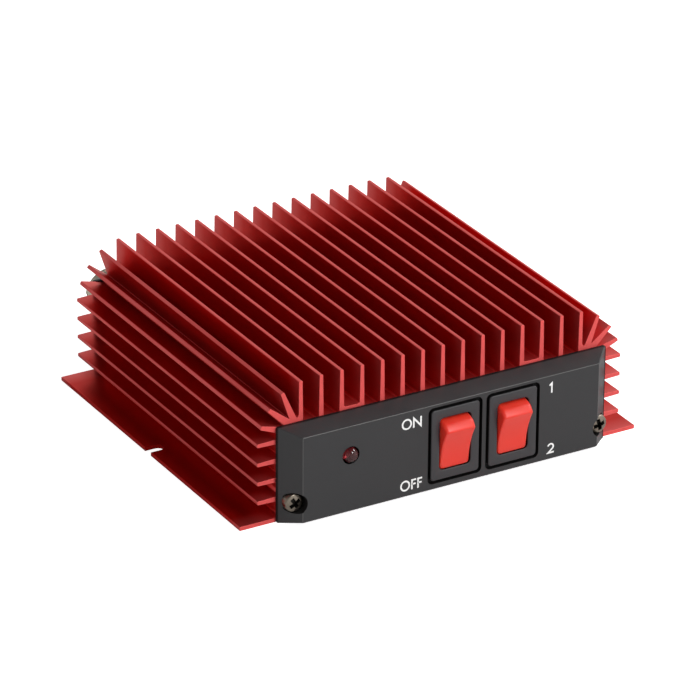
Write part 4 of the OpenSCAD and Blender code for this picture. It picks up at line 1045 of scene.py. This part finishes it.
def stroke(path, width, closed=False):
    """Flat stroke of even width: each side lies at p ± (width / 2) m, where m = (n1 + n2) / (1 + n1.n2)
    is the mitre of the neighbouring sides' normals; the section is a thin rectangle."""
    path = np.asarray(path, float)
    if closed:
        before, after = path - np.roll(path, 1, 0), np.roll(path, -1, 0) - path
    else:
        step = np.diff(path, axis=0)
        before, after = np.vstack([step[:1], step]), np.vstack([step, step[-1:]])
    n1 = np.stack([-before[:, 1], before[:, 0]], -1)
    n2 = np.stack([-after[:, 1], after[:, 0]], -1)
    n1 /= np.linalg.norm(n1, axis=1, keepdims=True)
    n2 /= np.linalg.norm(n2, axis=1, keepdims=True)
    mitre = (n1 + n2) / (1 + np.sum(n1 * n2, 1, keepdims=True))
    a, b = path + mitre * width / 2, path - mitre * width / 2
    top, bottom = -0.035, 0.02
    rows = [np.stack([p[:, 0], np.full(len(p), y), p[:, 1]], -1)
            for p, y in ((a, top), (b, top), (b, bottom), (a, bottom))]
    return np.stack(rows, 1)


def arc(cx, cz, rx, rz, start, stop, steps):
    """Points (cx + rx cos t, cz + rz sin t), with t from start to stop in degrees."""
    t = np.radians(np.linspace(start, stop, steps))
    return np.stack([cx + rx * np.cos(t), cz + rz * np.sin(t)], -1)


def glyph(letter, height, width):
    """Strokes of a plain geometric letter or figure: list of (points, closed), from its lower left."""
    h, w, s = height, width, 0.23
    if letter == "O":
        return [(arc(w / 2, h / 2, w / 2 - s, h / 2 - s + 0.08, 0, 360, 49)[:-1], True)]
    if letter == "N":
        return [([(s, 0), (s, h - s), (w - s, s), (w - s, h)], False)]
    if letter == "F":
        return [([(s, 0), (s, h - s), (w, h - s)], False), ([(s, h * 0.52), (w * 0.92, h * 0.52)], False)]
    if letter == "1":
        return [([(s, h * 0.76), (w * 0.55, h - s * 0.6), (w * 0.55, 0)], False)]
    bowl = arc(w / 2, h - w / 2 + 0.03, w / 2 - s, w / 2 - s, 165, -38, 22)
    return [(np.vstack([bowl, [(s * 1.4, s), (w, s)]]), False)]


def build_legends():
    """Generic words and figures beside the switches, each letter placed as (letter, x, z, width)."""
    width = bpy.context.scene.amp_panel.stroke / MM
    height = 3.1
    upper, lower = 21.53, 2.67
    letters = [("O", -16.45, upper, 3.2), ("N", -12.88, upper, 2.75),
               ("O", -16.7, lower, 3.1), ("F", -13.2, lower, 1.55), ("F", -11.25, lower, 1.5),
               ("1", 30.9, upper, 1.8), ("2", 30.9, lower, 2.2)]
    shell = Shell()
    for letter, x, z, wide in letters:
        for points, closed in glyph(letter, height, wide):
            ribbon = stroke(np.asarray(points, float) + (x, z), width, closed)
            ribbon[..., 1] += FACE_Y
            shell.grid(ribbon, close_rows=closed)
            if not closed:
                shell.add(ribbon[0], [[0, 1, 2, 3]])
                shell.add(ribbon[-1], [[3, 2, 1, 0]])
    shell.build("switch_legends", [finish("ink")], slot="panel_black", angle=30)


# ------------------------------------------------------------------ switches

def build_housing(name, node, x):
    """Rounded rectangles nested along Y: up the body and the bezel, over the bezel's eased face,
    and down the opening, whose half height is sqrt(r^2 - y^2) about the rocker's pivot. A latch
    stands on top behind the panel, and a bore takes the trunnions."""
    face, back = -PIVOT_DEPTH, -PIVOT_DEPTH + 1.3
    high = extent(node)[1][1] - PIVOT_Y
    half, radius, corner = OPENING
    wide, tall, _ = BEZEL
    rows = [(6.5, 9.5, 0.4, high), (6.5, 9.5, 0.4, back + 0.01), (*BEZEL, back), (*BEZEL, face + 0.34)]
    for a in np.radians([30, 60, 90]):
        gap = 0.3 * (1 - math.cos(a))
        rows.append((wide - gap, tall - gap, BEZEL[2] - gap * 0.5, face + 0.3 * (1 - math.sin(a))))
    lip = math.sqrt(radius ** 2 - PIVOT_DEPTH ** 2)
    for a in np.radians([0, 30, 60, 90]):
        gap = 0.22 * (1 - math.sin(a))
        rows.append((half + gap, lip + gap, corner + gap, face + 0.22 * (1 - math.cos(a))))
    mouth = len(rows)
    shelf = math.sqrt(radius ** 2 - 7.5 ** 2)
    for y in np.linspace(face + 0.5, shelf, 16):
        rows.append((half, math.sqrt(radius ** 2 - y * y), corner if y < 1.5 else 0.3, y))
    rows.append((half, 7.5, 0.3, high - 1))
    # The switch body, the bezel's outer wall and the opening's walls are near-black plastic: painted shade.
    slots = [1 if i < 3 or i >= mouth - 1 else 0 for i in range(len(rows) - 1)]
    materials = [finish("housing"), finish("recess")]
    bore = turned([(-5.8, 0), (-5.8, 1.35), (5.8, 1.35), (5.8, 0)], (0, 0, 0), 32)
    shell, cutter = Shell().loft(box_rings(rows), slot=slots), Shell()
    seat = face + 0.2 + PANEL_WALL + 0.1
    latch = [(seat, 9.4), (seat, 10.3), (seat + 4, 9.5), (seat + 4, 9.4)]
    catch = Shell().loft([[(side * 3.25, y, z) for y, z in latch] for side in (-1, 1)])
    cutter.grid(np.stack([bore[..., 1], bore[..., 0], bore[..., 2]], -1), slot=1)
    meshes = []
    for part, label in ((shell, name), (cutter, "cutter"), (catch, "catch")):
        for points in part.points:
            points += (x, PIVOT_Y, FACE_Z)
        meshes.append(part.mesh(label, materials))
    data = joined(carve(meshes[0], meshes[1:2]), meshes[2])
    settle(data, name, replaces=(node,), angle=38)


def rocker_rings():
    """Rocker about its pivot with the face level. The face lies at y = -f + d (1 - (z / k)^2),
    hollow across; its rim turns over a quarter ellipse into walls whose half height is
    sqrt(r^2 - y^2) and whose half width widens evenly from the face to the base; behind, a rim
    leads into the hollow under the face."""
    side = bpy.context.scene.amp_switch.rocker_round / MM
    radius, face, dish, flat = 8.5, 5.4, 0.85, 7.85
    narrow, broad, ridge, deep = 4.65, 4.88, 0.3, 0.45
    half_face = math.sqrt(radius ** 2 - face ** 2)
    widen = lambda y: narrow + (broad - narrow) * min(1.0, (y + face) / 3)
    tall = lambda y: min(flat, math.sqrt(radius ** 2 - y * y))
    rows = [(s * (narrow - side), s * (half_face - ridge), max(0.02, s * 0.5), -face, 1.0)
            for s in (0.02, 0.2, 0.4, 0.6, 0.8, 0.93, 1.0)]
    for a in np.radians([15, 30, 45, 60, 75, 90]):
        y = -face + deep * (1 - math.cos(a))
        w, h = widen(y) - side * (1 - math.sin(a)), tall(y) - ridge * (1 - math.sin(a))
        rows.append((w, h, 0.5 + 0.5 * math.sin(a), y, 1.0))
    for y in np.linspace(-face + deep + 0.25, 1.35, 14):
        rows.append((widen(y), tall(y), 1.0 if y < 0 else 0.5, y, max(0.0, 1 - (y + face) / 3.5)))
    rows += [(broad - 0.15, flat - 0.25, 0.35, 1.6, 0), (3.5, 6.0, 0.3, 1.6, 0), (3.4, 5.9, 0.3, 1.4, 0),
             (3.4, 5.9, 0.3, -3.0, 0), (0.05, 0.05, 0.01, -3.0, 0)]
    rings = []
    for w, h, r, y, fade in rows:
        ring = box_ring(-w, w, -h, h, r, 0)
        sides = [np.linspace(ring[i - 1], ring[i], 15)[1:-1] for i in (12, 0)]
        ring = np.vstack([ring[:12], sides[0], ring[12:], sides[1]])
        ring[:, 1] = y + dish * fade * (1 - np.clip(ring[:, 2] / half_face, -1, 1) ** 2)
        rings.append(ring)
    return np.array(rings)


def tipped(points, x):
    """Points about a pivot, tilted to the rest pose by y' = y cos a - z sin a and
    z' = y sin a + z cos a, and moved to the switch at x."""
    c, s = math.cos(ROCKER_TILT), math.sin(ROCKER_TILT)
    y, z = points[:, 1], points[:, 2]
    return np.stack([x + points[:, 0], PIVOT_Y + y * c - z * s, FACE_Z + y * s + z * c], -1)


def build_rocker(name, node, body, x):
    """Rocker with its hollow face, trunnions and boss, tipped to its rest position about the pivot."""
    shell = Shell().loft(rocker_rings())
    for side in (-1, 1):
        pin = turned([(0, 0), (0, 1.25), (1.1, 1.25), (1.2, 1.1), (1.2, 0)], (0, 0, 0), 32)
        shell.grid(np.stack([side * (4.48 + pin[..., 1]), pin[..., 0], pin[..., 2]], -1))
    boss = [(-3.05, 1.3), (2.5, 1.3), (2.6, 1.4), (2.6, 1.9), (2.5, 2.0), (-3.05, 2.0)]
    shell.grid(turned(boss, (0, 0, 0), 40), close_rows=True)
    shell.points = [tipped(points, x) for points in shell.points]
    shell.build(name, [finish("rocker")], body=body, replaces=(node,), slot="rocker_red", angle=40)


def build_spring(name, node, body, x):
    """Coil spring: a round wire on the helix (r cos a, h(a), r sin a), tipped with its rocker."""
    a = np.radians(np.arange(0, 360 * 5 + 1, 12.0))
    wire = 0.16
    low, high, ring = 2.4 - 5.1 + wire, -0.5 - wire, 1.25 - wire - 0.05
    path = np.stack([ring * np.cos(a), low + (high - low) * a / a[-1], ring * np.sin(a)], -1)
    wire_piece(name, "spring", node, "spring_steel", [tipped(path, x)], wire, body, sides=10)


def build_switches():
    """Housing, rocker and spring of both switches."""
    for name, x in (("power", POWER_X), ("mode", MODE_X)):
        rocker = name + "_rocker"
        build_housing(name + "_bezel", name + "_switch_housing", x)
        build_rocker(rocker + "_cap", rocker, rocker, x)
        build_spring(name + "_coil", name + "_plunger_spring", rocker, x)


# ------------------------------------------------------------------ lamp

def build_lamp():
    """Resin body of revolution with a domed end: r(h) = sqrt(R^2 - (R - h)^2) over the dome, then a
    straight wall and a flange. Inside it stand the cup and the post that show through the resin."""
    r = 2.25
    a = np.linspace(0, np.pi / 2, 14)
    dome = np.stack([LAMP_TIP_Y + r * (1 - np.cos(a)), r * np.sin(a)], -1)
    rest = [(LAMP_BACK_Y - 1, r), (LAMP_BACK_Y - 1, 2.78), (LAMP_BACK_Y - 0.9, 2.9),
            (LAMP_BACK_Y - 0.1, 2.9), (LAMP_BACK_Y, 2.8), (LAMP_BACK_Y, 0)]
    points = turned(np.vstack([dome, rest]), (LAMP_X, 0, LAMP_Z), 56)
    limit = np.where(points[..., 1] > LAMP_BACK_Y - 1.01, LAMP_FLAT_X, OPEN)
    points[..., 0] = np.minimum(points[..., 0], limit)
    Shell().grid(points).build(
        "lamp_lens_body", [finish("lens")], replaces=("lamp_lens",), slot="lens_red", angle=40)
    cup_y = LAMP_TIP_Y + 3.1
    cup = [(cup_y + 0.5, 0), (cup_y + 0.45, 0.5), (cup_y, 0.95), (cup_y, 1.05),
           (cup_y + 1.0, 0.8), (cup_y + 1.2, 0)]
    shell = Shell().grid(turned(cup, (LAMP_X - 0.35, 0, LAMP_Z), 32))
    for dx, half, y0 in ((-LEAD_GAP / 2, 0.3, cup_y + 1.0), (LEAD_GAP / 2, 0.45, cup_y + 0.3)):
        post = [(half, 0.28, 0.08, y0), (half, 0.28, 0.08, LAMP_BACK_Y - 0.1)]
        shell.loft(box_rings(post, (LAMP_X + dx, LAMP_Z)))
    shell.build("lamp_cup", [finish("tinned")], slot="tinned", angle=40)


# ------------------------------------------------------------------ sockets and cord entry

def threaded(rows, pitch, depth, sides):
    """Thread on a barrel: r(h, t) = R - depth * w, where w is a triangle wave of h / pitch - t / (2 pi)
    that fades out at both ends of the run. rows are (h, R, fade)."""
    rows = np.asarray(rows, float)
    t = np.linspace(0, 2 * np.pi, sides, endpoint=False)
    h, radius, fade = (rows[:, i][:, None] for i in range(3))
    wave = np.abs(2 * ((h / pitch - t / (2 * np.pi)) % 1) - 1)
    r = radius - depth * fade * wave
    return np.stack([r * np.cos(t), np.broadcast_to(h, r.shape), r * np.sin(t)], -1)


def run_rows(h0, h1, radius, pitch):
    """Rows of a threaded run, eight to a turn, with the thread fading in and out over half a turn."""
    h = np.arange(h0, h1, pitch / 8)
    fade = np.clip(np.minimum(h - h0, h1 - h) / (pitch / 2), 0, 1)
    return np.stack([h, np.full(len(h), radius), fade], -1)


def build_socket(side, prefix):
    """Threaded shell with a notched rim, cream insulator and hollow centre contact."""
    settings = bpy.context.scene.amp_socket
    pitch, depth, sides = settings.thread_pitch / MM, settings.thread_depth / MM, settings.sides
    centre = (side * SOCKET_X, SOCKET_FACE_Y, SOCKET_Z)
    plain = lambda *rows: np.array([(h, r, 0.0) for h, r in rows])
    rim, mount, barrel, bore = 16.5, 8.34, 7.94, 6.24
    rows = np.vstack([
        plain((-4.9, 4.6), (-4.9, 9.0), (-4.75, 9.14), (-3.05, 9.14), (-2.9, 9.0), (-2.9, mount)),
        run_rows(-2.2, 3.6, mount, pitch),
        plain((3.8, 8.2), (3.8, barrel)),
        run_rows(3.9, 15.9, barrel, pitch),
        plain((16.1, barrel), (rim, 7.55), (rim, 6.5), (16.2, bore), (-1, bore), (-1, 4.6))])
    points = threaded(rows, pitch, depth, sides)
    t = np.arctan2(points[..., 2], points[..., 0])
    off = np.abs((t + np.pi / 4) % (np.pi / 2) - np.pi / 4)
    slot_floor = rim - 1.4
    inside = (off < 1.1 / 7.1) & (points[..., 1] > slot_floor)
    points[..., 1] = np.where(inside, slot_floor, points[..., 1])
    name = prefix + "_socket_"
    Shell().grid(points + np.array(centre), close_rows=True).build(
        name + "barrel", [finish("nickel")], replaces=(name + "shell",), slot="socket_plate", angle=45)

    low, high = (v[1] - SOCKET_FACE_Y for v in extent(name + "insulator"))
    hole = 2.65
    profile = [(low, hole), (low, 4.45), (low + 0.1, 4.55), (-1, 4.55), (-1, 6.19), (high - 0.25, 6.19),
               (high, 5.95), (high, 3.6), (high - 0.5, 3.3), (high - 0.5, 3.0), (high, hole + 0.1),
               (high - 0.1, hole)]
    turn_piece(name + "core", "cream", name + "insulator", "socket_insulator", profile, centre, 72)

    low, high = (v[1] - SOCKET_FACE_Y for v in extent(name + "contact"))
    profile = [(low, 0), (low, 1.5), (low + 0.1, 1.6), (low + 2.5, 1.6), (low + 2.5, 2.6),
               (high - 0.1, 2.6), (high, 2.5), (high, 2.1), (high - 0.1, 2.0), (high - 11, 2.0),
               (high - 11, 0)]
    turn_piece(name + "pin", "brass", name + "contact", "terminal_brass", profile, centre, 64, ring=False)


def nut_surface(apothem, bore, h0, h1, chamfer, sides=96):
    """Hexagon nut with a corner towards +X: r(h, t) = min(a / cos(t'), c(h)), where t' is the angle
    from the nearest flat's middle and c(h) the cone that turns the corners down, then its bore."""
    t = np.linspace(0, 2 * np.pi, sides, endpoint=False)
    flat = t % (np.pi / 3) - np.pi / 6
    hexagon = apothem / np.cos(flat)
    corner = apothem / math.cos(math.pi / 6) - 0.5
    h = np.concatenate([[h0], np.linspace(h0, h0 + chamfer, 5)[1:], np.linspace(h1 - chamfer, h1, 5)])
    edge = np.minimum(h - h0, h1 - h) / chamfer
    cone = apothem * 0.985 + (corner - apothem * 0.985) * np.clip(edge, 0, 1)
    r = np.minimum(hexagon[None, :], cone[:, None])
    outer = np.stack([r * np.cos(t), np.broadcast_to(h[:, None], r.shape), r * np.sin(t)], -1)
    wide = bore + 0.3
    inner = turned([(h1, wide), (h1 - 0.3, bore), (h0 + 0.3, bore), (h0, wide)], (0, 0, 0), sides)
    return np.concatenate([outer, inner])


def build_sockets():
    """Input socket on the left, output socket on the right, as seen from the front."""
    build_socket(-1, "input")
    build_socket(1, "output")


def build_socket_hardware():
    """Washers and chamfered hexagon nuts on both sockets."""
    washers, nuts = Shell(), Shell()
    ring = [(0.0, 8.5), (0.0, 10.24), (0.1, 10.34), (0.7, 10.34),
            (0.8, 10.24), (0.8, 8.5), (0.7, 8.4), (0.1, 8.4)]
    for side in (-1, 1):
        centre = np.array((side * SOCKET_X, SOCKET_FACE_Y, SOCKET_Z))
        washers.grid(turned(ring, centre, 72), close_rows=True)
        nuts.grid(nut_surface(9.47, 8.4, 0.8, 3.4, 0.5) + centre, close_rows=True)
    for shell, name, look, node, angle in ((washers, "washers", "washer", "socket_washers", 40),
                                           (nuts, "hexagon_nuts", "nickel", "socket_nuts", 30)):
        shell.build(name, [finish(look)], replaces=(node,), slot="socket_plate", angle=angle)


def build_grommet():
    """Turned rubber ring with rounded lips on both sides of the panel."""
    (_, low, _), (_, high, _) = extent("cord_grommet")
    a = np.linspace(0, np.pi, 9)
    neck, flange, hole, lip = 4.4, 6.1, 2.6, 0.75
    lips = [np.stack([y - lip * np.cos(a), flange - lip + lip * np.sin(a)], -1)
            for y in (low + lip, high - lip)]
    mouth = [(high, hole + 0.5), (high - 0.15, hole + 0.15), (high - 0.5, hole),
             (low + 0.5, hole), (low + 0.15, hole + 0.15), (low, hole + 0.5)]
    profile = np.vstack([lips[0], [(low + 1.5, neck)], [(high - 1.5, neck)], lips[1], mouth])
    turn_piece("cord_ring", "rubber", "cord_grommet", "grommet_rubber", profile, (0, 0, SOCKET_Z), 64, 50)


# ------------------------------------------------------------------ wires and windings inside

def under_board(x, v, drop):
    """Point under the board: x across, v back from its front edge, drop below its underside."""
    return np.array([x, BOARD_FRONT_Y + v, BOARD_BOTTOM - drop])


def turn_path(origin, half, length, rise):
    """Turn through two bores: up from the board, out and back round, and down to the board."""
    near, foot, pull = length / 2 + 2.2, rise - 0.1, np.array([0, half * 0.75, 0])
    path = np.vstack([
        swing([-half, near, foot], [0, 0, -rise / 2], pull / 2, [-half, length / 2 - 2, 0]),
        swing([-half, -length / 2, 0], -pull, -pull, [half, -length / 2, 0]),
        swing([half, length / 2 - 2, 0], pull / 2, [0, 0, -rise / 2], [half, near, foot])])
    return path + origin


def build_wiring():
    """Insulated wires, socket leads and windings as round tubes along their real routes."""
    terminal_y = extent("power_switch_terminals")[1][1]
    paths = []
    for x, poles in ((POWER_X, (0, -1)), (MODE_X, (-1, 0, 1))):
        for pole in poles:
            paths.append(swing([x, terminal_y, FACE_Z + pole * 4.1], [0, 5, 0], [0, 0, -4],
                               [x + 3.2 * pole, BOARD_FRONT_Y + 4, BOARD_BOTTOM - 0.1]))
    wire_piece("hook_up_wires", "red wire", "switch_wires", "wire_red", paths, 0.7)
    tail = extent("input_socket_contact")[0][1]
    paths = [swing([x, tail, SOCKET_Z], [0, -6, 0], [0, 0, -4], [x, BOARD_FRONT_Y + 66, BOARD_BOTTOM - 0.1])
             for x in (-SOCKET_X, SOCKET_X)]
    wire_piece("aerial_leads", "white wire", "socket_leads", "wire_white", paths, 1.1)
    path = turn_path(under_board(0, 56, 5.0), 4.9, 16.6, 5.0)
    wire_piece("output_turn", "white wire", "output_transformer_winding", "wire_white", [path], 0.75)
    path = turn_path(under_board(0, 15, 3.7), 2.9, 11, 3.7)
    wire_piece("input_turn", "enamel", "input_transformer_winding", "wire_red", [path], 0.45)
    turns, sweep, steps, wire, gap = 9, 300.0, 24, 0.4, 0.1
    i = np.arange(turns * steps + 1)
    a, s = np.radians(360 * i / steps + 180), np.radians(sweep * i / (turns * steps))
    k = np.minimum(1 / np.maximum(np.abs(np.cos(a)), np.abs(np.sin(a))), 1.32)
    across, up, middle_drop = 1.5 + wire + gap, 1.7 + wire + gap, 1.1 + 1.7
    r = 4.6 + across * np.cos(a) * k
    coil = np.stack([r * np.cos(s), r * np.sin(s), -(middle_drop + up * np.sin(a) * k)], -1)
    path = under_board(24, 13.5, 0) + coil
    wire_piece("choke_turns", "enamel", "choke_winding", "wire_red", [path], wire,
               sides=10, first=(0, 1, 0))


CAD_FINISHES = {
    "white plastic": ("power_plunger", "mode_plunger", "trimmer_rotor"),
    "copper": ("power_contact_blade", "mode_contact_blade"),
    "brass": ("power_switch_terminals", "mode_switch_terminals", "board_pillars",
              "output_transformer_tubes", "supply_posts"),
    "tinned": ("lamp_leads", "ground_tags", "relay_pins", "resistor_leads"),
    "board": ("circuit_board",), "plain steel": ("board_screws",),
    "device": ("transistor_bodies", "diode"), "tab": ("transistor_tabs",),
    "pad": ("transistor_insulators",), "blue case": ("bypass_relay", "trimmer_base"),
    "ferrite": ("output_transformer_cores", "input_transformer_core", "choke_core"),
    "sleeve": ("electrolytic_capacitors",), "disc": ("disc_capacitors",), "resistor": ("resistors",),
}


def dress_nodes():
    """Gives each CAD node that stays in view its material."""
    for name, nodes in CAD_FINISHES.items():
        for node in nodes:
            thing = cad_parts[node]
            for slot in thing.material_slots:
                slot.material = finish(name)
            if not thing.material_slots:
                thing.data.materials.append(finish(name))


# ------------------------------------------------------------------ studio

def soft_light(name, place_at, target, size, power):
    """Square area light at a place in metres, turned to a target."""
    data = bpy.data.lights.new(name, "AREA")
    data.shape, data.size, data.energy = "SQUARE", size, power
    lamp = bpy.data.objects.new(name, data)
    lamp.location = place_at
    lamp.rotation_mode = "QUATERNION"
    lamp.rotation_quaternion = (Vector(target) - Vector(place_at)).to_track_quat("-Z", "Y")
    bpy.context.scene.collection.objects.link(lamp)


def build_stage():
    """Camera at the photograph's place, an even white tent, a plain floor and two soft lights."""
    scene = bpy.context.scene
    settings = scene.amp_stage
    azimuth, elevation, roll = math.radians(-30.221), math.radians(25.785), 0.0079
    camera_at = Vector((-0.63729, -1.10306, 0.62993))
    back = Vector((math.sin(azimuth) * math.cos(elevation), -math.cos(azimuth) * math.cos(elevation),
                   math.sin(elevation)))
    right = Vector((0, 0, 1)).cross(back).normalized()
    up = back.cross(right)
    across = right * math.cos(roll) + up * math.sin(roll)
    upward = up * math.cos(roll) - right * math.sin(roll)
    data = bpy.data.cameras.new("camera")
    data.sensor_fit, data.sensor_width, data.lens = "HORIZONTAL", 36.0, settings.lens
    data.clip_start, data.clip_end = 0.05, 20.0
    camera = bpy.data.objects.new("camera", data)
    matrix = Matrix((across, upward, back)).transposed().to_4x4()
    matrix.translation = camera_at
    camera.matrix_world = matrix
    scene.collection.objects.link(camera)
    scene.camera = camera

    world = bpy.data.worlds.new("white tent")
    scene.world = world
    world.use_nodes = True
    tree = world.node_tree
    direction = tree.nodes.new("ShaderNodeTexCoord").outputs["Generated"]
    towards = place(tree, "ShaderNodeSeparateXYZ", {0: direction})
    height = place(tree, "ShaderNodeMapRange", {
        "Value": towards.outputs["Z"], "From Min": 0.35, "From Max": 0.85, "To Min": 1.0, "To Max": 0.2})
    side = maths(tree, "ADD", maths(tree, "MULTIPLY", towards.outputs["X"], 0.45), 1.0)
    strength = maths(tree, "MULTIPLY", maths(tree, "MULTIPLY", height.outputs[0], side), settings.sky)
    tree.nodes["Background"].inputs["Color"].default_value = (1, 1, 1, 1)
    tree.links.new(strength, tree.nodes["Background"].inputs["Strength"])
    scene.view_settings.view_transform = "Standard"

    n = 41
    u, v = np.meshgrid(np.linspace(-1, 1, n), np.linspace(-1, 1, n), indexing="ij")
    floor = Shell().grid(np.stack([3000 * u, 3000 * v, np.full_like(u, -0.05)], -1), close_columns=False)
    mesh = bpy.data.meshes.new("floor")
    mesh.from_pydata((np.concatenate(floor.points) * MM).tolist(), [], floor.faces)
    stage = bpy.data.objects.new("floor", mesh)
    material, tree, shader, where = base("Pale floor")
    shade = toned(tree, settings.floor, grained(tree, where, 0.002, 0.4)["Tone"], 0.01)
    seen = tree.nodes.new("ShaderNodeLightPath").outputs["Is Camera Ray"]
    plug(tree, shader, {"Base Color": shade, "Roughness": 0.8, "Emission Color": (1, 1, 1, 1),
                        "Emission Strength": maths(tree, "MULTIPLY", seen, 0.85)})
    mesh.materials.append(material)
    scene.collection.objects.link(stage)
    target = (0, 0, 0.02)
    soft_light("key", (0.3, -0.88, 0.8), target, 0.35, settings.key)
    soft_light("side", (0.92, -0.18, 0.82), target, 0.3, settings.key * 0.6)


# ------------------------------------------------------------------ operators

class Maker:
    """What the operators share: each runs its steps in turn."""
    steps = ()

    def execute(self, context):
        for step in self.steps:
            step()
        return {"FINISHED"}


class AMP_OT_case(Maker, bpy.types.Operator):
    """Make the finned extrusion and the plate that slides under it"""
    bl_idname = "amp.case"
    bl_label = "Case and cover"
    steps = (build_case, build_cover)


class AMP_OT_panels(Maker, bpy.types.Operator):
    """Make the front and the rear panel with their screws"""
    bl_idname = "amp.panels"
    bl_label = "End panels"
    steps = (build_front_panel, build_rear_panel, build_panel_screws)


class AMP_OT_legends(Maker, bpy.types.Operator):
    """Print the plain words and figures beside the switches"""
    bl_idname = "amp.legends"
    bl_label = "Lettering"
    steps = (build_legends,)


class AMP_OT_switches(Maker, bpy.types.Operator):
    """Make both switches: housing with its bezel, rocker and spring"""
    bl_idname = "amp.switches"
    bl_label = "Rocker switches"
    steps = (build_switches,)


class AMP_OT_lamp(Maker, bpy.types.Operator):
    """Make the indicator lamp"""
    bl_idname = "amp.lamp"
    bl_label = "Indicator lamp"
    steps = (build_lamp,)


class AMP_OT_sockets(Maker, bpy.types.Operator):
    """Make the aerial sockets, their nuts and washers, and the cord's grommet"""
    bl_idname = "amp.sockets"
    bl_label = "Sockets and cord entry"
    steps = (build_sockets, build_socket_hardware, build_grommet)


class AMP_OT_inside(Maker, bpy.types.Operator):
    """Make the wires, windings and transistor screws, and finish the parts on the board"""
    bl_idname = "amp.inside"
    bl_label = "Board and wiring"
    steps = (build_wiring, build_transistor_screws, dress_nodes)


class AMP_OT_stage(Maker, bpy.types.Operator):
    """Set up the camera, the floor and the lights"""
    bl_idname = "amp.stage"
    bl_label = "Studio"
    steps = (build_stage,)


OPERATORS = (AMP_OT_stage, AMP_OT_case, AMP_OT_panels, AMP_OT_legends, AMP_OT_switches, AMP_OT_lamp,
             AMP_OT_sockets, AMP_OT_inside)
GROUPS_OF_SETTINGS = {"amp_case": AMP_PG_case, "amp_panel": AMP_PG_panel, "amp_switch": AMP_PG_switch,
                      "amp_lamp": AMP_PG_lamp, "amp_socket": AMP_PG_socket, "amp_stage": AMP_PG_stage}


class AMP_PT_sidebar(bpy.types.Panel):
    """Lists the amplifier's settings and the operators that make its pieces"""
    bl_idname = "AMP_PT_sidebar"
    bl_label = "Finned amplifier"
    bl_space_type = "VIEW_3D"
    bl_region_type = "UI"
    bl_category = "Amplifier"

    def draw(self, context):
        for name, kind in GROUPS_OF_SETTINGS.items():
            box = self.layout.box()
            for label in kind.__annotations__:
                box.prop(getattr(context.scene, name), label)
        for operator in OPERATORS:
            self.layout.operator(operator.bl_idname)


def register():
    """Registers the settings, the operators and the panel."""
    for kind in (*GROUPS_OF_SETTINGS.values(), *OPERATORS, AMP_PT_sidebar):
        bpy.utils.register_class(kind)
    for name, kind in GROUPS_OF_SETTINGS.items():
        setattr(bpy.types.Scene, name, PointerProperty(type=kind))


def unregister():
    """Takes back what register set up."""
    for name in GROUPS_OF_SETTINGS:
        delattr(bpy.types.Scene, name)
    for kind in reversed((*GROUPS_OF_SETTINGS.values(), *OPERATORS, AMP_PT_sidebar)):
        bpy.utils.unregister_class(kind)


def main():
    """Makes every piece."""
    register()
    for operator in OPERATORS:
        name = operator.bl_idname.split(".")[1]
        getattr(bpy.ops.amp, name)()


if __name__ == "__main__":
    main()
